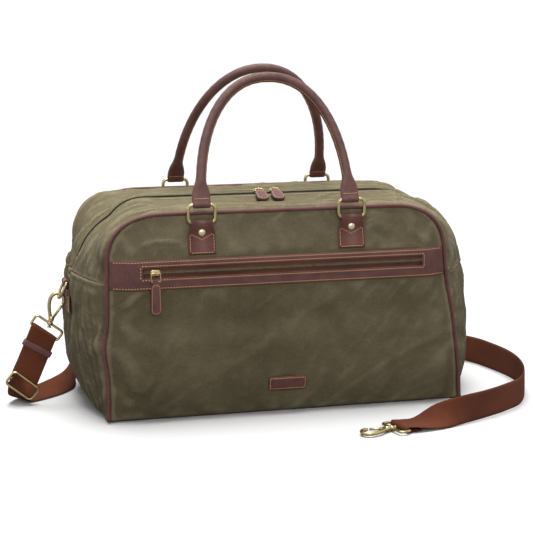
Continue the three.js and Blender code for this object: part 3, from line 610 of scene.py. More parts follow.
def shell():
    """The canvas as one closed sheet: vertices, faces and the part of each face."""
    verts, faces, labels = [], [], []

    def vertex(point):
        verts.append(np.array(point, float))
        return len(verts) - 1

    def patch(grid, label_of):
        for i in range(len(grid) - 1):
            for j in range(len(grid[0]) - 1):
                faces.append((grid[i][j], grid[i][j + 1], grid[i + 1][j + 1], grid[i + 1][j]))
                labels.append(PARTS.index(label_of(np.mean([verts[v] for v in faces[-1]], 0))))

    rims, bottoms = {}, {}
    for name, side in SIDES.items():
        grid = []
        for i, (half, z) in enumerate(PROFILE):
            row = []
            for j in range(TOP_CELLS + 1):
                x = lean(z) + half * (2 * j / TOP_CELLS - 1)
                row.append(vertex(on_face(side, x, z)))
            grid.append(row)

        def face_label(centre, name=name):
            within = SLOT["left"] - 3 < centre[0] < SLOT["right"] + 3
            in_hole = name == "front" and within and HOLE[0] < centre[2] < HOLE[1]
            return "open" if in_hole else "canvas_" + name
        patch(grid, face_label)
        rims[name] = [row[0] for row in grid] + grid[-1][1:-1] + [row[-1] for row in grid[::-1]]
        bottoms[name] = grid[0]

    ring = []
    for k in range(len(RIM)):
        inner = [vertex(gusset_point(k, y)) for y in STATIONS[1:-1]]
        ring.append([rims["front"][k], *inner, rims["back"][k]])

    def gusset_label(centre):
        if centre[2] < SEAM_Z:
            return "canvas_end_left" if centre[0] < 0 else "canvas_end_right"
        if abs(centre[1]) < ZIP_EDGE:
            return "open"
        return "canvas_top_front" if centre[1] < 0 else "canvas_top_back"
    patch(ring, gusset_label)

    floor_rows = [bottoms["front"]]
    for m in range(1, LAST):
        inner = [vertex((verts[v][0], STATIONS[m], 0)) for v in bottoms["front"][1:-1]]
        floor_rows.append([ring[0][m], *inner, ring[-1][m]])
    floor_rows.append(bottoms["back"])
    patch(floor_rows, lambda centre: "canvas_base")
    return np.array(verts), facing_out(verts, faces), np.array(labels)


def parts_of(count, faces, labels):
    """The part that each vertex belongs to, the base only where nothing else meets it."""
    part_of = ["canvas_base"] * count
    for face, label in zip(faces, labels):
        for v in face:
            if PARTS[label] != "canvas_base":
                part_of[v] = PARTS[label]
    return part_of


def facing_out(verts, faces):
    """The same faces in the same order, each with its corners anticlockwise seen from outside."""
    work = bmesh.new()
    corners = [work.verts.new(v) for v in verts]
    made = [work.faces.new([corners[i] for i in face]) for face in faces]
    work.verts.index_update()
    bmesh.ops.recalc_face_normals(work, faces=made)
    turned_faces = [tuple(v.index for v in face.verts) for face in made]
    work.free()
    return turned_faces


# Folds as (start, end, depth, width) in (x, z) on the faces; a negative depth is a valley
FACE_FOLDS = {
    "front": [
        ((-232, 128), (-120, 52), -2.6, 9), ((-226, 100), (-140, 22), 2.4, 10),
        ((-235, 70), (-168, 14), -2.2, 8), ((-236, 150), (-170, 96), 1.8, 9),
        ((-60, 172), (-92, 118), -1.6, 10), ((60, 170), (110, 84), 1.5, 14),
        ((236, 120), (190, 60), -1.8, 10), ((240, 84), (168, 28), 2.0, 12),
        ((150, 172), (190, 110), -1.4, 10), ((-112, 262), (-150, 222), -1.7, 7),
        ((-88, 264), (-60, 222), 1.6, 8), ((84, 262), (46, 224), -1.5, 8),
        ((118, 262), (160, 226), 1.8, 8), ((-20, 264), (10, 220), 1.4, 12),
        ((200, 250), (170, 220), -2.0, 7), ((-204, 246), (-176, 218), -2.0, 7),
        ((-30, 90), (80, 30), -1.2, 16),
    ],
    "back": [
        ((230, 130), (130, 60), -2.4, 10), ((-232, 110), (-150, 40), 2.2, 11),
        ((-60, 240), (-110, 120), -1.8, 12), ((90, 250), (60, 130), 1.8, 12),
        ((180, 240), (210, 150), -1.8, 9), ((-190, 236), (-212, 150), 1.8, 9),
        ((-100, 60), (40, 30), -1.6, 14), ((20, 220), (10, 90), -1.5, 14),
    ],
}
# Folds on the ends in the same form, in (distance along the rim from that end's foot, y)
END_FOLDS = {
    "left": [
        ((20, -70), (150, -52), -3.4, 8), ((30, -36), (178, -24), 2.8, 9),
        ((14, 10), (120, 22), -2.6, 9), ((60, 44), (190, 62), 2.8, 9),
        ((18, 84), (140, 74), -2.8, 8), ((205, -80), (262, -38), -3.6, 7),
        ((212, -104), (300, -62), 3.2, 8), ((204, 40), (280, 88), -3.0, 8),
        ((230, 96), (320, 50), 2.6, 9), ((262, -96), (350, -74), -2.8, 7),
        ((296, -30), (226, -14), 2.2, 8), ((330, -104), (392, -64), 2.0, 8),
    ],
    "right": [
        ((20, -62), (160, -70), -3.0, 8), ((26, -30), (170, -40), 2.6, 9),
        ((16, 20), (150, 8), -2.6, 9), ((40, 60), (188, 48), 2.8, 9),
        ((206, -84), (270, -40), -3.4, 7), ((214, -106), (300, -70), 3.0, 8),
        ((210, 90), (280, 44), -3.0, 8), ((262, -98), (350, -70), -2.6, 7),
        ((286, -20), (226, -46), 2.2, 8), ((336, -100), (392, -58), 2.0, 8),
    ],
}
# Folds on the top, in (distance along the rim from the left end's foot, y)
TOP_FOLDS = [
    ((420, -100), (470, -40), 1.6, 9), ((500, -30), (560, -96), -1.6, 9),
    ((440, 30), (500, 100), 1.8, 9), ((560, 96), (600, 30), -1.8, 9),
    ((380, -60), (400, -20), -1.6, 8),
]


def crease(a, b, sharpness, offset):
    """Thin wrinkle lines that wander: the lines where a slow noise passes through zero."""
    value = noise.noise((a, b, offset))
    there = noise.noise((a * 0.6 + 4.0, b * 0.6, offset + 8.0))
    return math.exp(-(value * sharpness) ** 2) * float(smoothstep(there * 2.2 + 0.35))


def fold(point, folds):
    """The height of a set of folds at a flat place."""
    total = 0.0
    for start, end, depth, width in folds:
        a, b = np.array(start, float), np.array(end, float)
        t = np.clip((point - a) @ (b - a) / ((b - a) @ (b - a)), 0, 1)
        gap = np.linalg.norm(point - (a + t * (b - a)))
        swell = math.sin(math.pi * min(1, max(0.08, t * 0.86 + 0.1)))
        total += depth * math.exp(-(gap / width) ** 2) * swell
    return total


RIM_LENGTHS = path_lengths(RIM)
RIM_SPAN = RIM_LENGTHS[-1]


def rim_distance(x, z):
    """How far along the rim the nearest point of it is, and how far away."""
    gaps = np.linalg.norm(RIM - (x, z), axis=1)
    nearest = int(gaps.argmin())
    return RIM_LENGTHS[nearest], float(gaps[nearest])


PATCHES = {(face, hand): middle(f"handle_patch_{face}_{hand}")
           for face in SIDES for hand in HANDS}
PATCH_HOLD = 21               # half width and heights of the canvas that a handle's patch holds
PATCH_HEIGHTS = (216, 258)
TAB_HOLD = 17                 # the same for the tab on each end
TAB_HEIGHTS = (118, 170)


def held(point, part):
    """Whether stiff trim holds the canvas: the band, the patches, the end tabs and the zip."""
    x, y, z = point
    if part in ("canvas_front", "open") and BAND[0] - 1 < z < BAND[1] + 1:
        return True
    if part == "canvas_base":
        return True
    if PATCH_HEIGHTS[0] < z < PATCH_HEIGHTS[1]:
        for (face, _), centre in PATCHES.items():
            if part == "canvas_" + face and abs(x - centre[0]) < PATCH_HOLD:
                return True
    if part.startswith("canvas_end") and abs(y) < TAB_HOLD and TAB_HEIGHTS[0] < z < TAB_HEIGHTS[1]:
        return True
    return abs(y) < ZIP_EDGE + 1 and z > SEAM_Z - 4


CLOTH_FRAMES = 20


def simulate(verts, faces, pinned):
    """Fills the canvas with air as cloth, with its seams held, and returns the moved vertices."""
    cloth = add_object("cloth", mesh_of("cloth", verts * MM, faces))
    group = cloth.vertex_groups.new(name="pinned")
    group.add([int(i) for i in np.flatnonzero(pinned)], 1.0, "REPLACE")
    modifier = cloth.modifiers.new("Cloth", "CLOTH")
    settings = modifier.settings
    settings.quality = 6
    settings.mass = 0.25
    settings.tension_stiffness = settings.compression_stiffness = 18
    settings.shear_stiffness = 8
    settings.bending_stiffness = 0.6
    settings.tension_damping = settings.compression_damping = 12
    settings.use_pressure = True
    settings.uniform_pressure_force = 3.2
    settings.shrink_min = -0.022
    settings.effector_weights.gravity = 0
    settings.vertex_group_mass = "pinned"
    settings.pin_stiffness = 1
    modifier.collision_settings.use_collision = False
    modifier.point_cache.frame_start, modifier.point_cache.frame_end = 1, CLOTH_FRAMES
    for step in range(1, CLOTH_FRAMES + 1):
        bpy.context.scene.frame_set(step)
    evaluated = cloth.evaluated_get(bpy.context.evaluated_depsgraph_get())
    moved = np.array([v.co for v in evaluated.data.vertices]) / MM
    bpy.context.scene.frame_set(1)
    bpy.data.objects.remove(cloth)
    return moved


def refined(verts, faces, labels):
    """One round of subdivision, which keeps the part of each face."""
    mesh = mesh_of("refine", verts, faces)
    for part in PARTS:
        mesh.materials.append(bpy.data.materials.new("label_" + part))
    mesh.polygons.foreach_set("material_index", labels)
    piece = add_object("refine", mesh)
    modifier = piece.modifiers.new("Subdivision", "SUBSURF")
    modifier.levels = modifier.render_levels = 1
    result = piece.evaluated_get(bpy.context.evaluated_depsgraph_get()).data
    fine = np.array([v.co for v in result.vertices])
    normals = np.array([v.normal for v in result.vertices])
    fine_faces = [tuple(p.vertices) for p in result.polygons]
    fine_labels = np.array([p.material_index for p in result.polygons])
    bpy.data.objects.remove(piece)
    for part in PARTS:
        bpy.data.materials.remove(bpy.data.materials["label_" + part])
    return fine, normals, fine_faces, fine_labels


def outward(points, labels_of):
    """Directions out of the bag, good enough to move folds along."""
    directions = np.zeros_like(points)
    for i, point in enumerate(points):
        part = labels_of[i]
        in_slot = part == "open" and point[2] < HOLE[1] + 2 and point[1] < -90
        if part in FLAT_PARTS or in_slot:
            directions[i] = (0, np.sign(point[1]), 0)
        elif part != "canvas_base":
            gaps = np.abs(RIM - (point[0], point[2])).sum(1)
            out = RIM_OUT[int(gaps.argmin())]
            directions[i] = (out[0], 0, out[1])
    return directions


TRACK_ENDS = (-175, 190)
TRACK_Y = -29                 # middle of the strip that the main pulls lie on


def pull_track(x, y, z, spread):
    """1 on the strip of the top that the main zip's pulls travel over, fading to 0 around it."""
    along = smoothstep((x - TRACK_ENDS[0]) / 34) * smoothstep((TRACK_ENDS[1] - x) / 34)
    return along * np.exp(-((y - TRACK_Y) / spread) ** 2) * (z > SEAM_Z)


# How far the air may move the canvas: on the faces, on the ends and top, on the upper faces
# where the pocket's pull swings, and along the track of the main pulls
FACE_LIMIT, END_LIMIT, PULL_LIMIT, TOP_PULL_LIMIT = 5.5, 7.0, 1.6, 0.6
PULL_DIP = 3.6                # how far the top sinks along that track, and how wide the track is
PULL_SPREAD = 26
BACK_DIP = 4.5                # how far the rear half of the top sinks


def drape():
    """The finished canvas: vertices, normals, faces and labels."""
    verts, faces, labels = shell()
    part_of = parts_of(len(verts), faces, labels)
    on_rim = np.abs(np.abs(verts[:, 1]) - HALF_DEPTH) < 0.02
    pinned = np.array([held(v, part_of[i]) or on_rim[i] for i, v in enumerate(verts)])
    directions = outward(verts, part_of)
    rest = verts.copy()
    for i, (x, y, z) in enumerate(verts):
        part = part_of[i]
        if part == "canvas_base" or pinned[i]:
            continue
        along, gap = rim_distance(x, z)
        if part in FLAT_PARTS:
            height = fold(np.array([x, z]), FACE_FOLDS[part[7:]])
            ease = float(smoothstep(gap / 22) * smoothstep(z / 16))
        else:
            flat = np.array([along if x < 0 else RIM_SPAN - along, y])
            height = fold(flat, END_FOLDS["left" if x < 0 else "right"])
            height += fold(np.array([along, y]), TOP_FOLDS)
            ease = float(smoothstep((HALF_DEPTH - abs(y)) / 18) * smoothstep(z / 16))
            if z > SEAM_Z:
                ease *= float(smoothstep((abs(y) - 9) / 16))
        rest[i] = verts[i] + directions[i] * height * ease
    soft = rest
    soft = simulate(rest, faces, pinned)
    in_face = np.array([part in FLAT_PARTS for part in part_of])
    limit = np.where(in_face, FACE_LIMIT, END_LIMIT)
    near_pull = smoothstep((verts[:, 2] - 105) / 35) * in_face
    limit = limit * (1 - near_pull) + PULL_LIMIT * near_pull
    near_top_pulls = pull_track(*verts.T, 40)
    limit = limit * (1 - near_top_pulls) + TOP_PULL_LIMIT * near_top_pulls
    shift = soft - rest
    size = np.maximum(np.linalg.norm(shift, axis=1, keepdims=True), 1e-6)
    # a soft cap: small moves stay as they are and large ones approach the limit
    shift = shift / size * (limit[:, None] * np.tanh(size / limit[:, None]))
    shift[pinned] = 0
    verts = rest + shift
    verts[:, 2] -= PULL_DIP * pull_track(*verts.T, PULL_SPREAD)
    across_dip = np.exp(-((verts[:, 1] - 62) / 34) ** 2)
    back_dip = across_dip * smoothstep((215 - np.abs(verts[:, 0])) / 50)
    verts[:, 2] -= BACK_DIP * back_dip * (verts[:, 2] > 230)
    low_z = verts[:, 2] < FOOT
    rise = np.clip(FOOT - verts[:, 2], 0, FOOT)
    tuck = FOOT - np.sqrt(np.maximum(FOOT ** 2 - rise ** 2, 0))
    verts[:, 1] -= np.sign(verts[:, 1]) * np.minimum(tuck, 5) * low_z * in_face
    verts[:, 2] = np.maximum(verts[:, 2], 0.6)
    fine, normals, fine_faces, fine_labels = refined(verts, faces, labels)
    return wrinkled(fine, normals, fine_faces, fine_labels)


def wrinkled(verts, normals, faces, labels):
    """Small creases and seam puckers that the coarse cloth can't hold."""
    part_of = parts_of(len(verts), faces, labels)
    result = verts.copy()
    for i, (x, y, z) in enumerate(verts):
        part = part_of[i]
        if part in ("canvas_base", "open") or z < 3:
            continue
        along, gap = rim_distance(x, z)
        flat = part in FLAT_PARTS
        if not flat:
            gap = HALF_DEPTH - abs(y)
        seam = math.exp(-gap / 9)
        pucker = 0.9 * noise.noise((along * 0.09, y * 0.01, 3.0)) * seam * min(1, gap / 3)
        stiff = held((x, y, z), part)
        if flat:
            soft = (noise.noise((x * 0.016, 7.0, z * 0.022)) * 1.5
                    + noise.noise((x * 0.05, 1.0, z * 0.035)) * 0.5)
            upper = float(smoothstep((z - BAND[1]) / 16))
            soft += upper * 3.4 * noise.noise((x * 0.017, 4.0, z * 0.03))
            soft += upper * 1.5 * crease(x * 0.016, z * 0.026, 10, 81.0 + np.sign(y))
            slant = x * 0.011 * (1 if z > BAND[1] else -1)
            soft += 1.3 * crease(slant + z * 0.018, x * 0.004, 11, 2.0 + np.sign(y))
            soft -= 1.0 * crease(slant * 1.6 + z * 0.012, z * 0.006, 10, 22.0 + np.sign(y))
        else:
            soft = (noise.noise((along * 0.014, y * 0.045, 5.0)) * 2.0
                    + noise.noise((along * 0.05, y * 0.09, 2.0)) * 0.7)
            corner = float(smoothstep((z - 185) / 30)) * float(smoothstep((abs(x) - 100) / 60))
            deep = crease(along * 0.0055, y * 0.034 + along * 0.004, 10, 11.0)
            soft += (2.6 + 2.2 * corner) * deep
            deep = crease(along * 0.009, y * 0.05 - along * 0.003, 11, 31.0)
            soft -= (2.4 + 1.6 * corner) * deep
            soft += 1.2 * crease(along * 0.02, y * 0.03 + along * 0.012, 9, 51.0)
            soft += 1.8 * crease(along * 0.012 + y * 0.008, y * 0.03, 10, 71.0)
            soft -= 1.6 * crease(along * 0.017 - y * 0.01, y * 0.035, 10, 91.0)
            if z > SEAM_Z:
                soft *= float(smoothstep((abs(y) - 8) / 14))
                track = float(pull_track(x, y, z, PULL_SPREAD))
                soft = min(soft, soft * (1 - track) + 0.3)
                near_zip = math.exp(-((abs(y) - ZIP_EDGE - 9) / 6) ** 2)
                pucker += 0.5 * noise.noise((along * 0.12, 9.0, 1.0)) * near_zip
            if abs(x) > 150:
                pucker += 0.5 * math.exp(-((z - SEAM_Z - 1.5) / 2.2) ** 2)
                pucker -= 0.9 * math.exp(-((z - SEAM_Z + 3) / 2.6) ** 2)
        ease = min(1, gap / 8)
        height = pucker + (0 if stiff else soft * ease)
        result[i] = verts[i] + normals[i] * height
    return result, normals, faces, labels


def slump(points):
    """Small shifts along X that bend the front piping at both ends as a soft bag settles."""
    points = np.array(points, float)
    x, y, z = points.T
    front = np.exp(-((y + HALF_DEPTH) / 60) ** 2)
    left = -5.0 * np.exp(-((z - 97) / 24) ** 2) * np.exp(-((x + 232) / 45) ** 2)
    right = 3.6 * smoothstep(z / 50) * smoothstep((175 - z) / 60) * np.exp(-((x - 245) / 60) ** 2)
    points[:, 0] += front * (left + right)
    return points


canvas_verts, canvas_normals, canvas_faces, canvas_labels = drape()
canvas_verts = slump(canvas_verts)
CANVAS_TREE = BVHTree.FromPolygons([tuple(v) for v in canvas_verts], canvas_faces)


def on_canvas(origin, direction):
    """The first point of the draped canvas along a ray, and the outward normal there."""
    hit, normal, _, _ = CANVAS_TREE.ray_cast(Vector(origin), Vector(direction))
    normal = np.array(normal)
    if normal @ np.array(direction) > 0:
        normal = -normal
    return np.array(hit), normal


CANVAS_THICK = 1.8
LINING_DEPTHS = (4.5, 5.5)    # of the lining's two sides, below the outside of the canvas
POUCH_MARGIN = 12             # the lining stays this far away from the pocket's slot


def canvas_pieces():
    stands_for = {
        "canvas_front": "front_panel", "canvas_back": "back_panel", "canvas_base": "base_panel",
        "canvas_end_left": "side_panel_left", "canvas_end_right": "side_panel_right",
        "canvas_top_front": "top_panel_front", "canvas_top_back": "top_panel_back",
    }
    inner = canvas_verts - canvas_normals * CANVAS_THICK
    for part, node in stands_for.items():
        chosen = [f for f, label in zip(canvas_faces, canvas_labels) if PARTS[label] == part]
        make(part, *walled(canvas_verts, inner, chosen), "canvas", "bag", [node])
    lined = [canvas_verts - canvas_normals * depth for depth in LINING_DEPTHS]
    chosen = [f for f, label in zip(canvas_faces, canvas_labels)
              if PARTS[label] not in ("open", "canvas_base") and not behind_pocket(f)]
    make("lining_cloth", *walled(*lined, chosen), "lining", "bag", ["lining"])


def behind_pocket(face):
    x, y, z = np.mean([canvas_verts[v] for v in face], 0)
    beside = SLOT["left"] - POUCH_MARGIN < x < SLOT["right"] + POUCH_MARGIN
    return y < -90 and beside and 40 < z < 212


def walled(outer, inner, faces):
    """A sheet with thickness: its outer faces, its inner faces and a wall round each open edge."""
    used = sorted({v for f in faces for v in f})
    index = {v: i for i, v in enumerate(used)}
    count = len(used)
    result, edges = [], {}
    for face in faces:
        near = [index[v] for v in face]
        result.append(tuple(near))
        result.append(tuple(i + count for i in reversed(near)))
        for a, b in zip(near, near[1:] + near[:1]):
            edges[(a, b)] = edges.get((a, b), 0) + 1
    for a, b in edges:
        if (b, a) not in edges:
            result.append((b, a, a + count, b + count))
    return np.concatenate([outer[used], inner[used]]), result


canvas_pieces()

# ---------------------------------------------------------------- sheets and ribbons


STRAP_EDGE = 0.45             # radius of a strap's edges


def straps(points, across, half_widths, thickness):
    """A flat strap along points, with rounded edges and its width along across."""
    points = np.asarray(points, float)
    across = unit(np.broadcast_to(np.asarray(across, float), points.shape))
    normal = unit(np.cross(tangents(points), across))
    halves = np.broadcast_to(half_widths, len(points))
    h = thickness / 2
    sections = []
    for point, side, up, half in zip(points, across, normal, halves):
        outline = []
        for sx, sy in ((1, 1), (-1, 1), (-1, -1), (1, -1)):
            corners = [(half - STRAP_EDGE, h), (half - 0.3 * STRAP_EDGE, h - 0.3 * STRAP_EDGE),
                       (half, h - STRAP_EDGE)]
            corners = corners if sx == sy else corners[::-1]
            outline += [(sx * a, sy * b) for a, b in corners]
        sections.append(np.array([point + side * a + up * b for a, b in outline]))
    return skin(sections)


def spline(points, per_span=6):
    """A smooth line through points."""
    p = np.asarray(points, float)
    p = np.vstack([2 * p[0] - p[1], p, 2 * p[-1] - p[-2]])
    out = []
    for i in range(1, len(p) - 2):
        for t in np.linspace(0, 1, per_span, endpoint=False):
            out.append(0.5 * (2 * p[i] + (p[i + 1] - p[i - 1]) * t
                              + (2 * p[i - 1] - 5 * p[i] + 4 * p[i + 1] - p[i + 2]) * t ** 2
                              + (3 * p[i] - p[i - 1] - 3 * p[i + 1] + p[i + 2]) * t ** 3))
    out.append(p[-2])
    return np.array(out)


def sheet(grid_outer, grid_inner, keep=lambda i, j: True):
    """A thin sheet between two grids of points, without the cells that keep() leaves out."""
    rows, columns = grid_outer.shape[:2]
    corners = (0, 1, columns + 1, columns)
    faces = [tuple(i * columns + j + corner for corner in corners)
             for i in range(rows - 1) for j in range(columns - 1) if keep(i, j)]
    return walled(grid_outer.reshape(-1, 3), grid_inner.reshape(-1, 3), faces)


def constant(direction):
    return lambda place: np.array(direction, float)


# ---------------------------------------------------------------- piping

PIPING_RADIUS = 2.7
PIPING_OUT = 0.6              # how far its middle lies outside the line of the canvas
for face, side in SIDES.items():
    line = [(x + out[0] * PIPING_OUT, side * HALF_DEPTH, max(z + out[1] * PIPING_OUT, 2.9))
            for (x, z), out in zip(RIM, RIM_OUT)]
    cord = tube(slump(line), PIPING_RADIUS, 10)
    make(f"piping_cord_{face}", *cord, "piping", "bag", [f"piping_{face}"])

# ---------------------------------------------------------------- front pocket

TRIM_GAP = 0.8
LEATHER = 1.8
BAND_TOP = TRIM_GAP + LEATHER + 0.35          # how far the band's stitching stands off the canvas


def band():
    """The leather band with the slot of the pocket's zip in it."""
    zs = [BAND[0], 180, 184, 188, SLOT["bottom"], 196.5, 201, SLOT["top"], 208.5, 211.5, BAND[1]]
    fractions = np.linspace(-1, 1, 91)
    inner, outer = [], []
    for z in zs:
        half = half_at(z) - 3.4
        xs = [lean(z) + half * f for f in fractions]
        for edge in ("left", "right"):
            nearest = int(np.argmin([abs(x - SLOT[edge]) for x in xs]))
            xs[nearest] = SLOT[edge]
        puff = 0.5 * math.sin(math.pi * (z - BAND[0]) / (BAND[1] - BAND[0]))
        inner.append([on_face(-1, x, z, TRIM_GAP) for x in xs])
        outer.append([on_face(-1, x, z, TRIM_GAP + LEATHER + puff) for x in xs])
    inner, outer = np.array(inner), np.array(outer)

    def solid(i, j):
        x = (outer[i, j, 0] + outer[i, j + 1, 0]) / 2
        z = (zs[i] + zs[i + 1]) / 2
        return not (SLOT["left"] < x < SLOT["right"] and SLOT["bottom"] < z < SLOT["top"])
    return sheet(outer, inner, solid)


soft_edges = make("band_leather", *band(), "leather", "bag", ["pocket_band"]).modifiers.new(
    "Soft edges", "BEVEL")
soft_edges.width = 0.5 * MM
soft_edges.segments = 2
soft_edges.limit_method = "ANGLE"
soft_edges.angle_limit = math.radians(50)


def band_line(z, start, end):
    return [on_face(-1, x, z, BAND_TOP) for x in np.linspace(start, end, 60)]


def band_stitching():
    front = constant((0, -1, 0))
    rows = []
    for z in (BAND[0] + 2.2, BAND[1] - 2.2):
        half = half_at(z) - 6
        rows.append(stitches("band", band_line(z, lean(z) - half, lean(z) + half), front))
    left, right = SLOT["left"] - 3, SLOT["right"] + 3
    bottom, top = SLOT["bottom"] - 2.6, SLOT["top"] + 2.6
    rows += [stitches("band", band_line(z, left, right), front, start=1) for z in (bottom, top)]
    for x in (left, right):
        line = [on_face(-1, x, z, BAND_TOP) for z in np.linspace(bottom, top, 5)]
        rows.append(stitches("band", line, front, start=1, end=1))
    return merge(*rows)


make("band_stitching", *band_stitching(), "thread", "bag")

SLOT_MIDDLE = (SLOT["bottom"] + SLOT["top"]) / 2
FACE_FRONT = -(HALF_DEPTH + FACE_BELLY)


def tooth(length, width, height):
    """One zip tooth, from the middle line outwards along +Y."""
    outline = np.array([(-0.5, 0), (0.5, 0), (0.5, 0.55), (0.32, 1), (-0.32, 1), (-0.5, 0.55)])
    outline = outline * (length, width)
    layers = ((0.86, 0), (1, 0.25 * height), (1, 0.75 * height), (0.86, height))
    return skin([np.column_stack([outline * s, np.full(6, z)]) for s, z in layers])


TOOTH_HEIGHT = 2.0
TOOTH_PITCH = 2.5
for name, side in (("upper", 1), ("lower", -1)):
    line = [(x, FACE_FRONT + 0.2, SLOT_MIDDLE + side * 5.6)
            for x in np.linspace(SLOT["left"] - 4, SLOT["right"] + 4, 40)]
    verts, faces = straps(line, (0, 0, 1), 5, 1.0)
    uvs = np.column_stack([verts[:, 0], verts[:, 2]])
    make(f"pocket_tape_{name}", verts, faces, "tape", "bag", [f"pocket_zip_{name}"], uvs)
    front = FACE_FRONT + (0.1 if side > 0 else 0.1 - TOOTH_HEIGHT)
    first = SLOT["left"] + 1 + (side > 0) * TOOTH_PITCH / 2
    shapes = [turned(tooth(1.3, 3.6, TOOTH_HEIGHT), (x, front, SLOT_MIDDLE - side * 0.7),
                     (1, 0, 0), (0, 0, side), (0, -side, 0))
              for x in np.arange(first, SLOT["right"] - 1, TOOTH_PITCH)]
    make(f"pocket_teeth_{name}", *merge(*shapes), "teeth", "bag")


def slider_shape(lug_base, teeth_depth):
    """A zip slider: two plates, the web between them and the arch that holds its puller."""
    plate = rounded(13, 8.4, 3)
    plate[:, 1] *= 1 - 0.16 * (plate[:, 0] > 2) * (plate[:, 0] / 6.5)
    top = slab(plate, 0.3 + lug_base, 2 + lug_base, 0.5, 0.3)
    under = slab(plate, -teeth_depth - 1.8, -teeth_depth - 0.4, 0.4)
    web = slab(rounded(6, 0.8, 0.3, 2), -teeth_depth - 1, lug_base + 1, 0.1)
    line = [(0, y, lug_base + z)
            for y, z in ((-2.7, 1.6), (-2.6, 4.4), (0, 5.9), (2.6, 4.4), (2.7, 1.6))]
    return merge(top, under, web, tube(spline(line, 5), 0.8, 8))


def loop_wire(width, height, radius, wire, sides=10):
    outline = rounded(width, height, radius)
    return tube(np.column_stack([outline, np.zeros(len(outline))]), wire, sides, closed=True)


def puller_shapes(width, length, drop):
    """The leather tab of a puller and its stitching, hanging along -Y from its link."""
    centre = -drop - length / 2 - 2.2
    outline = rounded(width, length, width / 2 - 0.6, 8)
    outline[:, 0] *= 1 - 0.12 * (outline[:, 1] > 0) * (outline[:, 1] / (length / 2))
    tab_verts, tab_faces = slab(outline, -1.5, 1.5, 0.6, 0.25)
    tab = (tab_verts + (0, centre, 0), tab_faces)
    neck_verts, neck_faces = slab(rounded(8.4, 7.4, 2), -1.4, 1.4, 0.5)
    neck = (neck_verts + (0, -drop - 1.4, 0), neck_faces)
    border = seam_line(outline, 1.9)
    threads = []
    for z, normal in ((1.62, 1), (-1.62, -1)):
        line = np.column_stack([border[:, 0], border[:, 1] + centre, np.full(len(border), z)])
        threads.append(stitches("puller", line, constant((0, 0, normal))))
    return merge(tab, neck), merge(*threads)


def zip_pull(prefix, bodies, nodes, origin, lug_base, teeth_depth, axes, pull_axes, size):
    """A slider with its link and leather puller; nodes are the CAD slider, link and puller."""
    body_slider, body_pull = bodies
    slider = slider_shape(lug_base, teeth_depth)
    make(f"{prefix}_slider_metal", *turned(slider, origin, *axes), "brass", body_slider, [nodes[0]])
    pivot = np.array(origin) + (lug_base + 4) * np.array(axes[2])
    width, length, drop = size
    link_verts, link_faces = loop_wire(12, drop, 1.6, 0.9)
    link = (link_verts - (0, drop / 2, 0), link_faces)
    make(f"{prefix}_link_wire", *turned(link, pivot, *pull_axes), "brass", body_pull, [nodes[1]])
    tab, thread = puller_shapes(width, length, drop)
    make(f"{prefix}_pull_tab", *turned(tab, pivot, *pull_axes), "leather", body_pull, [nodes[2]])
    make(f"{prefix}_pull_stitching", *turned(thread, pivot, *pull_axes), "thread", body_pull)


LUG_RISE = 6.2                # from a slider's face to the top of its lug
FRONT_AXES = ((1, 0, 0), (0, 0, 1), (0, -1, 0))
slider_at = middle("pocket_slider")
zip_pull("pocket", ("pocket_slider", "pocket_pull"),
         ("pocket_slider", "pocket_pull_link", "pocket_puller"),
         (slider_at[0], low("pocket_slider")[1] + LUG_RISE, SLOT_MIDDLE),
         0, 2.1, FRONT_AXES, FRONT_AXES, (14.5, 41, 11))


def on_front(x, z, height=0.0):
    hit, _ = on_canvas((x, -400, z), (0, 1, 0))
    return np.array([x, hit[1] - height, z])


def label():
    """A blank stitched leather label that lies on the draped canvas."""
    centre = middle("label_patch")
    width, _, height = high("label_patch") - low("label_patch")
    outline = rounded(width, height, 3)
    verts, faces = slab(outline, 0.3, 0.3 + LEATHER, 0.5, 0.3)
    verts = np.array([on_front(centre[0] + x, centre[2] + y, z) for x, y, z in verts])
    border = seam_line(outline, 2.2)
    line = [on_front(centre[0] + x, centre[2] + y, LEATHER + 0.5) for x, y in border]
    make("label_leather", verts, faces, "leather", "bag", ["label_patch"])
    threads = stitches("label", line, constant((0, -1, 0)))
    make("label_stitching", *threads, "thread", "bag")


label()


def pouch():
    """The loose cotton bag behind the pocket's zip."""
    floor_z, top_z = low("pocket_pouch")[2] + 2, high("pocket_pouch")[2] - 1
    layers = []
    xs = np.linspace(low("pocket_pouch")[0] + 2, high("pocket_pouch")[0] - 2, 30)
    for depth in (low("pocket_pouch")[1] + 1.2, high("pocket_pouch")[1] - 1.2):
        layers.append(np.array([
            [(x, depth + 0.8 * noise.noise((x * 0.03, z * 0.05, depth)), z) for x in xs]
            for z in np.linspace(floor_z, top_z, 12)]))
    make("pouch_cloth", *sheet(*layers), "lining", "bag", ["pocket_pouch"])


pouch()

# ---------------------------------------------------------------- top zip

ZIP_START = int(np.argmax(RIM[:, 1] > SEAM_Z + 0.5))
ZIP_KS = range(ZIP_START, len(RIM) - ZIP_START)
TEETH_DROP = 1.4

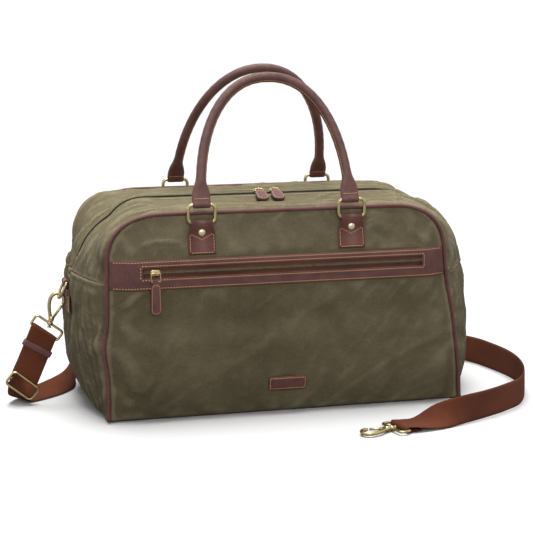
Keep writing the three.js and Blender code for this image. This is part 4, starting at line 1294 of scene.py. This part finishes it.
for name, side in SIDES.items():
    ys = [side * y for y in (0.9, 4, 8, 13)]
    verts, faces = sheet(*(np.array([[gusset_point(k, y, offset) for y in ys] for k in ZIP_KS])
                           for offset in (-2.6, -3.6)))
    uvs = np.column_stack([verts[:, 0] + verts[:, 2], verts[:, 1]])
    make(f"main_tape_{name}", verts, faces, "dark_tape", "bag", [f"main_zip_{name}"], uvs)
    centre_line = [gusset_point(k, 0, -TEETH_DROP - 2.2) for k in ZIP_KS]
    places, directions = along_path(centre_line, 2.6, 1.3 * (side > 0), 1.3 * (side < 0))
    shapes = [turned(tooth(1.35, 3.2, 2.2), place - np.array((0, side * 0.7, 0)),
                     direction, (0, side, 0), -unit(np.cross(direction, (0, 1, 0))))
              for place, direction in zip(places, directions)]
    make(f"main_teeth_{name}", *merge(*shapes), "dark_teeth", "bag")


def canvas_row(y):
    """A line on the draped gusset beside the zip, at a depth."""
    line = []
    for k in ZIP_KS:
        start = gusset_point(k, y, 30)
        out = RIM_OUT[k]
        hit, _ = on_canvas(start, (-out[0], 0, -out[1]))
        line.append(hit + 0.2 * np.array((out[0], 0, out[1])))
    return line


def rim_normal(place):
    nearest = int(np.linalg.norm(RIM - (place[0], place[2]), axis=1).argmin())
    return np.array((RIM_OUT[nearest][0], 0, RIM_OUT[nearest][1]))


rows = [stitches("zip", canvas_row(side * y), rim_normal)
        for side in (-1, 1) for y in (9.6, 15.2)]
make("zip_stitching", *merge(*rows), "dark_thread", "bag")

DROOP = math.radians(14)
TOP_AXES = ((1, 0, 0), (0, 1, 0), (0, 0, 1))
PULL_AXES = ((1, 0, 0), (0, math.cos(DROOP), math.sin(DROOP)),
             (0, -math.sin(DROOP), math.cos(DROOP)))
MAIN_LUG = 1.2
for hand in HANDS:
    node = f"main_slider_{hand}"
    zip_pull(f"main_{hand}", (node, f"main_pull_{hand}"),
             (node, f"main_pull_link_{hand}", f"main_puller_{hand}"),
             (middle(node)[0], 0, high(node)[2] - LUG_RISE - MAIN_LUG),
             MAIN_LUG, 3.6, TOP_AXES, PULL_AXES, (16.5, 29, 7))

# ---------------------------------------------------------------- handles

HANDLES = {
    "front": {"shift": -8.2, "half": 98.4, "rise": 164.8, "power": 2.19, "tilt": 18.1},
    "back": {"shift": 8.4, "half": 105, "rise": 186, "power": 2.09, "tilt": 29.6},
}
RING_WIRE = 2.1
HANDLE_RADIUS = 6.1
HANDLE_END_HALF = 12          # half width of a handle's flat ends
HANDLE_TUCK = 4.5             # how far those reach below the middle of the ring's bar


def handle_line(half, rise, power):
    """The middle line of a handle in its own plane, from below the left ring bar to the right."""
    angles = np.linspace(0, math.pi, 400)
    xs = -half * np.sign(np.cos(angles)) * np.abs(np.cos(angles)) ** (2 / power)
    zs = rise * np.abs(np.sin(angles)) ** (2 / power)
    line = np.stack([xs, zs], 1)
    return np.vstack([[(-half, -HANDLE_TUCK)], line, [(half, -HANDLE_TUCK)]])


def handle_section(s):
    """Half width in the handle's plane, half thickness and squareness, above the ring bar."""
    round_off = float(smoothstep((s - 10) / 27))
    across = HANDLE_END_HALF + (HANDLE_RADIUS - HANDLE_END_HALF) * round_off
    if s < 0:
        below = (s / HANDLE_TUCK) ** 2
        return across * (1 - 0.1 * below), 4.4 * math.sqrt(max(0.02, 1 - below)), 5.0
    pinch = 4.4 - 1.2 * float(smoothstep(s / 7))
    thick = pinch + (HANDLE_RADIUS - pinch) * float(smoothstep((s - 10) / 25))
    return across, thick, 5.0 - 2.9 * round_off


def handle(face, side, shift, half, rise, power, tilt):
    """The leather roll with its ends round the rings, its stitching and the cord inside."""
    body = f"{face}_handle"
    angle = math.radians(tilt)
    up = np.array((0, -side * math.sin(angle), math.cos(angle)))
    depth = np.array((0, side * math.cos(angle), math.sin(angle)))
    ring = f"handle_ring_{face}_left"
    origin = np.array((shift, middle(ring)[1], high(ring)[2] - RING_WIRE))
    flat = handle_line(half, rise, power)
    lengths = path_lengths(flat)
    total = lengths[-1]
    ends = np.array([0, 1.2, 2.4, 3.5, 4.5, 6.5, 8.5, 10.5])
    at = np.concatenate([ends, np.linspace(13, total - 13, 120), total - ends[::-1]])
    points = points_at(flat, lengths, at)
    ahead = unit(np.gradient(points, axis=0))
    sections, seam, centres = [], [], []
    angles = circle(28)
    for s, point, direction in zip(at, points, ahead):
        from_end = min(s, total - s) - HANDLE_TUCK
        a, b, square = handle_section(from_end)
        outwards = np.array((-direction[1], direction[0]))
        ridge = np.exp(-((angles - math.pi) / 0.2) ** 2) * smoothstep((from_end - 26) / 12)
        radius = (np.abs(np.cos(angles) / a) ** square
                  + np.abs(np.sin(angles) / b) ** square) ** (-1 / square)
        radius = radius + 1.2 * ridge + 0.12 * np.sin(from_end * 0.5 + 3 * np.cos(angles))
        in_plane = point[None, :] + outwards[None, :] * (radius * np.cos(angles))[:, None]
        world = (origin + np.outer(in_plane[:, 0], (1, 0, 0)) + np.outer(in_plane[:, 1], up)
                 + np.outer(radius * np.sin(angles), depth))
        sections.append(world)
        centre = origin + np.array((point[0], 0, 0)) + point[1] * up
        out_world = outwards[0] * np.array((1, 0, 0)) + outwards[1] * up
        centres.append(centre)
        if from_end > 30:
            seam.append((centre - out_world * (a + 0.9), centre))
    make(f"handle_leather_{face}", *skin(sections), "handle", body, [f"handle_cover_{face}"])
    rows = []
    for turn in (-0.42, 0.42):
        line = []
        for point, centre in seam:
            inward = unit(point - centre)
            radius = np.linalg.norm(point - centre) - 0.7
            line.append(centre + radius * (inward * math.cos(turn) + depth * math.sin(turn)))
        mids = np.array([centre for _, centre in seam])

        def away(place):
            return place - mids[int(np.linalg.norm(mids - place, axis=1).argmin())]
        rows.append(stitches("handle", line, away))
    for end in (-1, 1):
        for face_sign in (-1, 1):
            normal = depth * face_sign
            base = origin + np.array((end * half, 0, 0)) + up * 7.2 + normal * 3.3
            across = [base + np.array((x, 0, 0)) for x in np.linspace(-10, 10, 8)]
            rows.append(stitches("handle_end", across, constant(normal)))
    make(f"handle_stitching_{face}", *merge(*rows), "thread", body)
    core = np.array(centres)[14:-14]
    strands = []
    along = tangents(core)
    side_axis = unit(np.cross(along, depth))
    for strand in range(3):
        turn = (np.arange(len(core)) * 0.55 + strand * ALL_ROUND / 3)[:, None]
        offset = np.cos(turn) * side_axis + np.sin(turn) * depth
        strands.append(tube(core + 1.7 * offset, 1.8, 7))
    make(f"handle_rope_{face}", *merge(*strands), "rope", body, [f"handle_core_{face}"])


for face, side in SIDES.items():
    handle(face, side, **HANDLES[face])


PATCH_HALF = 18
PATCH_NECK = 14.1             # half width of the strip that goes round the ring's bar
RIVET = [(0, -7), (1.3, -7), (1.3, -0.3), (4.7, -0.2), (4.9, 0.3), (4.4, 1.1), (3, 1.8),
         (1.4, 2.1), (0, 2.15)]


def over_bar(bar, radius, x_sign, place):
    """Points round the upper half of a bar; place() turns two coordinates into a point."""
    return [place(bar[0] + x_sign * radius * math.cos(t), bar[1] + radius * math.sin(t))
            for t in np.linspace(0, math.pi, 9)]


def handle_patch(face, side, hand):
    """The sewn patch with the strip round the ring's bar, the rivet, the ring and the stitches."""
    node = f"handle_patch_{face}_{hand}"
    ring = f"handle_ring_{face}_{hand}"
    x = middle(node)[0]
    bottom, bar_z = low(node)[2], low(ring)[2] + RING_WIRE
    bar = abs(middle(ring)[1])
    path = [on_face(side, x, z, TRIM_GAP + LEATHER / 2)
            for z in np.linspace(bottom, bar_z - 16, 11)]
    path += [(x, side * (bar + 1.1), bar_z - 10), (x, side * (bar + 2.5), bar_z - 5)]
    straight = len(path)
    path += over_bar((bar, bar_z), 3.3, 1, lambda out, z: (x, side * out, z))
    path += [(x, side * (bar - 2.8), bar_z - 4), on_face(side, x, bar_z - 9, 1.6)]
    halves = np.full(len(path), PATCH_NECK)
    for i, (_, _, z) in enumerate(path[:straight]):
        halves[i] = PATCH_HALF + (PATCH_NECK - PATCH_HALF) * smoothstep((z - bar_z + 16) / 12)
    leather = straps(path, (1, 0, 0), halves, LEATHER)
    make(f"patch_leather_{face}_{hand}", *leather, "leather", "bag", [node])

    def row(*ends, **margins):
        line = [on_face(side, x + dx, z, TRIM_GAP + LEATHER) for dx, z in ends]
        return stitches("patch", line, constant((0, side, 0)), **margins)
    edge, foot, top = PATCH_HALF - 2.5, bottom + 2.3, bar_z - 15
    rows = [
        row((-edge, top), (-edge, foot), end=0.8),
        row((-edge, foot), (edge, foot), start=0.8, end=0.8),
        row((edge, foot), (edge, top), start=0.8),
        row((-edge, top + 1), (0, top - 7), (edge, top + 1), start=1, end=1),
    ]
    make(f"patch_stitching_{face}_{hand}", *merge(*rows), "thread", "bag")
    rivet_node = f"handle_rivet_{face}_{hand}"
    centre = (middle(rivet_node)[0], side * (bar + 0.7), middle(rivet_node)[2])
    head = turned(lathe(RIVET), centre, (1, 0, 0), (0, 0, -side), (0, side, 0))
    make(f"rivet_head_{face}_{hand}", *head, "rivet", "bag", [rivet_node])
    wire = loop_wire(35, high(ring)[2] - low(ring)[2] - 2 * RING_WIRE, 6, RING_WIRE + 0.15, 14)
    make(f"ring_wire_{face}_{hand}", *turned(wire, middle(ring), *FRONT_AXES), "brass",
         f"{face}_ring_{hand}", [ring])


for face, side in SIDES.items():
    for hand in HANDS:
        handle_patch(face, side, hand)

# ---------------------------------------------------------------- end tabs and D rings

STRAP_WIRE = 1.8
D_ACROSS, D_DROP = 26, 24
D_LEANS = {"left": math.radians(24), "right": math.radians(-12)}
TAB_HALF = 15
TAB_NECK = 10.4
JOINTS = {joint["name"]: joint for joint in frame["joints"]}


def joint_place(name):
    return np.array(JOINTS[name]["pos_m"]) / MM


def upright_wire(outline):
    """A closed wire along an outline in the XZ plane."""
    return tube([(x, 0, z) for x, z in outline], STRAP_WIRE, 12, closed=True)


def end_fittings(hand, way):
    """The leather tab on one end, its loop, its stitching and the D ring that hangs in it."""
    pivot = joint_place(f"d_ring_{hand}_hinge")
    node = f"side_tab_{hand}"
    low_z = low(node)[2]

    def surface(y, z, height):
        hit, _ = on_canvas((way * 420, y, z), (-way, 0, 0))
        return np.array([hit[0] + way * height, y, z])
    zs = np.linspace(low_z, pivot[2] - 8, 9)
    path = np.array([surface(0, z, 1.4 + LEATHER / 2) for z in zs])
    loop = [surface(0, pivot[2] - 14, 1.6), (pivot[0] - way * 3.2, 0, pivot[2] - 3)]
    loop += over_bar(pivot[[0, 2]], 3.1, -way, lambda x, z: (x, 0, z))
    loop += [(pivot[0] + way * 2.4, 0, pivot[2] - 4), (path[-1, 0] + way * 2.2, 0, pivot[2] - 9),
             (path[-3, 0] + way * 1.9, 0, pivot[2] - 18)]
    leather = merge(straps(path, (0, 1, 0), TAB_HALF, LEATHER),
                    straps(loop, (0, 1, 0), TAB_NECK, LEATHER))
    make(f"tab_leather_{hand}", *leather, "leather", "bag", [node])
    edge, foot, top = TAB_HALF - 2.2, low_z + 2.4, pivot[2] - 10
    corners = [(-edge, foot), (edge, foot), (edge, top), (-edge, top), (-edge, foot),
               (edge, top), (edge, foot), (-edge, top)]
    rows = []
    for (y0, z0), (y1, z1) in zip(corners, corners[1:]):
        line = []
        for t in np.linspace(0, 1, 8):
            z = z0 + (z1 - z0) * t
            x = np.interp(z, zs, path[:, 0]) + way * LEATHER / 2
            line.append((x, y0 + (y1 - y0) * t, z))
        rows.append(stitches("tab", line, constant((way, 0, 0)), start=0.8, end=0.8))
    make(f"tab_stitching_{hand}", *merge(*rows), "thread", "bag")
    half = D_ACROSS / 2
    bow = [(half * math.cos(t), half - D_DROP - half * math.sin(t))
           for t in np.linspace(0, math.pi, 17)]
    outline = [(-half + 2, 0), (half - 2, 0), (half - 0.5, -0.5), (half, -2), *bow,
               (-half, -2), (-half + 0.5, -0.5)]
    wire = tube([(0, y, z) for y, z in outline], STRAP_WIRE, 12, closed=True)
    make(f"d_wire_{hand}", *turned(wire, pivot, *leaning(D_LEANS[hand])), "brass",
         f"d_ring_{hand}", [f"d_ring_{hand}"])


for hand, way in HANDS.items():
    end_fittings(hand, way)

# ---------------------------------------------------------------- hooks

WEBBING = 38
LOOP_RISE = 15
EYE_DROP = -3.6
HOOK_LEAN = math.radians(15)
LOOP_LEAN = math.radians(37)
KEEPER_LEAN = math.radians(31)
ADJUSTER_LEAN = math.radians(40)
HOOK_BOW = [(-1, 0, 4), (-4.5, 0, 12), (-7.2, 0, 22), (-7.4, 0, 31), (-4, 0, 37), (2, 0, 39),
            (8, 0, 36.5), (10.6, 0, 31), (10.4, 0, 26)]
HOOK_BARREL = [(0, 0), (3.6, 0), (4.1, 0.8), (3.6, 1.6), (4, 2.6), (4, 4.6), (3.4, 5.6),
               (2.4, 6.6), (0, 6.8)]
HOOK_STEM = [(0, -9.6), (2.6, -9.4), (3, -8.6), (2.6, -7.8), (1.5, -7.5), (1.5, 0.2), (0, 0.3)]
EYE = [(0, -2.2), (3.4, -2.2), (3.8, -1.4), (3.8, 1.4), (3.4, 2.2), (0, 2.2)]


def hook_shapes():
    """The hook, its gate and the eye of its loop, in the hook's own frame."""
    line = spline(HOOK_BOW)
    radii = np.interp(np.linspace(0, 1, len(line)),
                      [0, 0.1, 0.5, 0.93, 1], [2.8, 2.4, 2.6, 2.4, 1.9])
    thumb = tube([(3.2, -2.6, 10.5), (3.2, 2.6, 10.5)], 1.5, 10)
    gate = merge(tube([(2.6, 0, 5.6), (9.6, 0, 23.6)], 1.8, 10), thumb)
    return merge(tube(line, radii, 12), lathe(HOOK_BARREL), lathe(HOOK_STEM)), gate, lathe(EYE)


def hook(name, origin, axes, loop_turn):
    """One end of the strap: the hook, its gate and the loop that the webbing goes round."""
    body_shape, gate, eye = hook_shapes()
    make(f"hook_metal_{name}", *turned(body_shape, origin, *axes), "brass",
         f"hook_{name}", [f"hook_{name}"])
    make(f"gate_metal_{name}", *turned(gate, origin, *axes), "brass",
         f"gate_{name}", [f"hook_gate_{name}"])
    outline = rounded(WEBBING + 5, LOOP_RISE, 4) - (0, LOOP_RISE / 2)
    loop = turned(upright_wire(outline), (0, 0, EYE_DROP), *leaning(loop_turn))
    eye = (eye[0] + (0, 0, EYE_DROP), eye[1])
    make(f"loop_metal_{name}", *turned(merge(loop, eye), origin, *axes), "brass",
         "bag", [f"hook_loop_{name}"])


left_axes = leaning(HOOK_LEAN)
left_axis = np.array(left_axes[2])
left_hook = joint_place("hook_left_swivel")
hook("left", left_hook, left_axes, LOOP_LEAN - HOOK_LEAN)
free_axis = unit(np.array(JOINTS["hook_free_swivel"]["axis"], float))
free_hook = joint_place("hook_free_swivel")
DOWN = np.array((0, 0, -1.0))
hook("free", free_hook, (np.cross(DOWN, free_axis), DOWN, free_axis), 0)

# ---------------------------------------------------------------- shoulder strap

THICK = 1.8
EDGE = 1.8                    # height of the webbing's middle where its edge is on the floor
loop_across, _, loop_up = (np.array(axis) for axis in leaning(LOOP_LEAN))
left_bar = left_hook + left_axis * EYE_DROP - loop_up * LOOP_RISE
free_bar = free_hook + free_axis * (EYE_DROP - LOOP_RISE)
free_across = np.array((-free_axis[1], free_axis[0], 0))
adjuster_at = middle("strap_adjuster")
drop_along = unit(np.array((adjuster_at[0] - left_bar[0], 0, adjuster_at[2] - left_bar[2])))


def round_bar(bar, across, away, over):
    """The webbing's turn round a loop's bar, as pairs of points on its two edges."""
    reach = STRAP_WIRE + 0.8 + THICK / 2
    pairs = []
    for angle in np.linspace(-math.pi / 2, math.pi / 2, 5):
        centre = bar + away * reach * math.cos(angle) + over * reach * math.sin(angle)
        pairs.append((centre - across * WEBBING / 2, centre + across * WEBBING / 2))
    return pairs


def drop_pair(distance, y):
    """A pair of points on the edges of the hanging webbing, at a distance below the left loop."""
    centre = left_bar + drop_along * distance
    centre[1] = y
    return (centre - loop_across * WEBBING / 2, centre + loop_across * WEBBING / 2)


# The strap as pairs of points on its two edges, from the left hook to the free one
STRAP_PAIRS = [
    drop_pair(74, -2.6), drop_pair(50, -2.6), drop_pair(24, -2.6), drop_pair(8, -3.1),
    *round_bar(left_bar, loop_across, loop_up, np.array((0, 1.0, 0))),
    drop_pair(8, 3.1), drop_pair(24, 2), drop_pair(50, 2), drop_pair(72, 2.4),
    ((-350, 6, 19.5), (-320, 4, 5.5)), ((-345, 20, 8), (-316, 6, EDGE)),
    ((-331, 38, 9), (-301, 14.5, EDGE)), ((-299, 61.4, 12), (-275, 34, EDGE)),
    ((-269.5, 90.5, 16), (-257, 58, EDGE)), ((-255, 114.5, 23), (-250, 84, EDGE)),
    ((-249.5, 131, 31), (-247.5, 110, EDGE)), ((-232, 144, 39), (-234, 140, EDGE)),
    ((-186, 158, 39), (-186, 157, EDGE)), ((-60, 166, 39), (-60, 167, EDGE)),
    ((60, 165, 39), (60, 167, EDGE)), ((180, 157, 39), (180, 159, EDGE)),
    ((276, 126, 39), (274, 126, EDGE)), ((334, 73, 39), (330, 66, EDGE)),
    ((354, 20, 39), (350, 14, EDGE)), ((361, -42, 39), (360, -46, EDGE)),
    ((348, -108, 39), (349, -108, EDGE)), ((320, -160, 39), (322, -159, EDGE)),
    ((286, -187, 39), (290, -186, EDGE)), ((252, -205, 38), (256, -206, EDGE)),
    ((212, -220, 37), (216, -226, EDGE)), ((180, -214, 27), (186, -238, 1.6)),
    ((155, -205, 8.5), (164, -243, 4.6)), ((138, -208, 7.5), (147, -245, 7.3)),
    *round_bar(free_bar, free_across, free_axis, DOWN),
    ((133.5, -206.4, 1.7), (144, -243, 1.7)), ((143, -203.5, 1.7), (153.5, -240, 1.7)),
]


def webbing():
    """The strap's webbing, with the rows of stitches that close its turns round the two bars."""
    near, far = (spline(edge) for edge in zip(*STRAP_PAIRS))
    middle_line = (near + far) / 2
    along = tangents(middle_line)
    lengths = path_lengths(middle_line)
    steps = np.linspace(-1, 1, 13)
    top = [(t, 0.5 - 0.28 * abs(t) ** 8) for t in steps]
    outline = top + [(t, -h) for t, h in top[::-1]]
    sections, uvs = [], []
    for a, b, direction, length in zip(near, far, along, lengths):
        across = (b - a) / 2
        normal = unit(np.cross(direction, across))
        sections.append([(a + b) / 2 + across * t + normal * h * THICK for t, h in outline])
        uvs += [(length, t * WEBBING / 2) for t, _ in outline]
    make("webbing_strap", *skin(sections), "webbing", "bag", ["strap_webbing"], np.array(uvs))
    rows = []
    for row in (26, len(near) - 14):
        across = far[row] - near[row]
        line = [near[row] + across * t for t in np.linspace(0.12, 0.88, 6)]
        rows.append(stitches("webbing", line, constant(np.cross(along[row], across))))
    make("webbing_stitching", *merge(*rows), "dark_thread", "bag")


webbing()


def keeper():
    """A narrow leather loop round both layers of webbing."""
    path = rounded(WEBBING + 2.6, 7.6, 2.2)
    outline = rounded(8, 1.5, 0.5, 2)
    sections = []
    for point, direction in zip(path, tangents(path, closed=True)):
        normal = np.array((direction[1], -direction[0]))
        sections.append([(*(point + normal * b), a) for a, b in outline])
    placed = turned(skin(sections, closed=True), middle("strap_keeper"), *leaning(KEEPER_LEAN))
    make("keeper_leather", *placed, "handle", "bag", ["strap_keeper"])


keeper()


def adjuster():
    """The metal slide, a rounded frame with a middle bar, and the webbing over the bar."""
    outline = rounded(42, 20, 5)
    bar = tube([(-20.6, 0, 0), (20.6, 0, 0)], 1.4, 10)
    axes = leaning(ADJUSTER_LEAN)
    make("adjuster_metal", *turned(merge(upright_wire(outline), bar), adjuster_at, *axes),
         "brass", "strap_adjuster", ["strap_adjuster"])
    arch = [(0, 0.8, 9.8), (0, -1.8, 7.2), (0, -3.3, 2.6)]
    arch += [(x, y, -z) for x, y, z in arch[::-1]]
    verts, faces = straps(spline(arch, 4), (1, 0, 0), WEBBING / 2 - 0.4, THICK)
    make("webbing_over_bar", *turned((verts, faces), adjuster_at, *axes), "webbing",
         "strap_adjuster", uvs=verts[:, [2, 0]])


adjuster()

# ---------------------------------------------------------------- the base board, kept from the CAD

board = frame["nodes"]["base_board"]
board.data.materials.clear()
board.data.materials.append(MATERIALS["board"])

# ---------------------------------------------------------------- floor, light and camera

# Places and sizes in this section are in metres
BAG_MIDDLE = (0, 0, 0.2)
SUN_ANGLE = (-6, 2)
SUN_SPREAD = 42
SUN_POWER = 3.2
OVERHEAD_POWER = 7
FRONT_POWER = 25
WORLD_LIGHT = 0.26
WORLD_SHINE = 0.9             # what polished surfaces see all round
WORLD_SEEN = 1.2              # what the camera sees behind the bag
FLOOR_SEEN = (0.8, 0.8, 0.8, 1)
FLOOR_LIT = (0.3, 0.3, 0.3, 1)
LENS = 99
SENSOR = 36
CAMERA_AT = (-0.4645, -1.9279, 0.5725)
CAMERA_TARGET = (-0.02027, -0.115, 0.19787)


def stage_mesh():
    """A wide pale floor; it throws back less light than the camera sees in it."""
    corners = [(-9, -7, 0), (9, -7, 0), (9, 16, 0), (-9, 16, 0)]
    mesh = mesh_of("stage_floor", corners, [(0, 1, 2, 3)])
    n = Nodes("pale_floor")
    color = n.mix(n.new("LightPath", "Is Camera Ray"), FLOOR_LIT, FLOOR_SEEN)
    mesh.materials.append(n.finish(color, 0.95, Specular_IOR_Level=0.0))
    add_object("stage_floor", mesh)


def aim(thing, place, target):
    thing.location = place
    thing.rotation_euler = (Vector(target) - Vector(place)).to_track_quat("-Z", "Y").to_euler()


def area_light(name, place, size, power):
    """A soft box that looks at the middle of the bag."""
    light = bpy.data.lights.new(name, "AREA")
    light.shape = "RECTANGLE"
    light.size, light.size_y = size
    light.energy = power
    aim(add_object(name, light), place, BAG_MIDDLE)


def soft_sun(angle, power, spread):
    """An even light over the whole stage from a direction given in degrees about X and Y."""
    light = bpy.data.lights.new("soft_sun", "SUN")
    light.energy = power
    light.angle = math.radians(spread)
    lamp = add_object("soft_sun", light)
    lamp.rotation_euler = (math.radians(angle[0]), math.radians(angle[1]), 0)


stage_mesh()
soft_sun(SUN_ANGLE, SUN_POWER, SUN_SPREAD)
area_light("overhead", (-0.25, 0.2, 1.7), (1.6, 1.2), OVERHEAD_POWER)
area_light("front", (-0.2, -2.8, 1.6), (1.6, 1.0), FRONT_POWER)

world = bpy.data.worlds.new("studio")
bpy.context.scene.world = world
world.use_nodes = True
tree = world.node_tree
background = tree.nodes["Background"]
background.inputs["Color"].default_value = (1, 1, 1, 1)
ray = tree.nodes.new("ShaderNodeLightPath")
strength = WORLD_LIGHT
for kind, brightness in (("Is Glossy Ray", WORLD_SHINE), ("Is Camera Ray", WORLD_SEEN)):
    step = tree.nodes.new("ShaderNodeMix")
    tree.links.new(ray.outputs[kind], step.inputs["Factor"])
    if isinstance(strength, float):
        step.inputs["A"].default_value = strength
    else:
        tree.links.new(strength, step.inputs["A"])
    step.inputs["B"].default_value = brightness
    strength = step.outputs[0]
tree.links.new(strength, background.inputs["Strength"])

camera = bpy.data.cameras.new("camera")
camera.lens = LENS
camera.sensor_width = SENSOR
camera_object = add_object("camera", camera)
aim(camera_object, CAMERA_AT, CAMERA_TARGET)
bpy.context.scene.camera = camera_object
bpy.context.scene.view_settings.view_transform = "Standard"
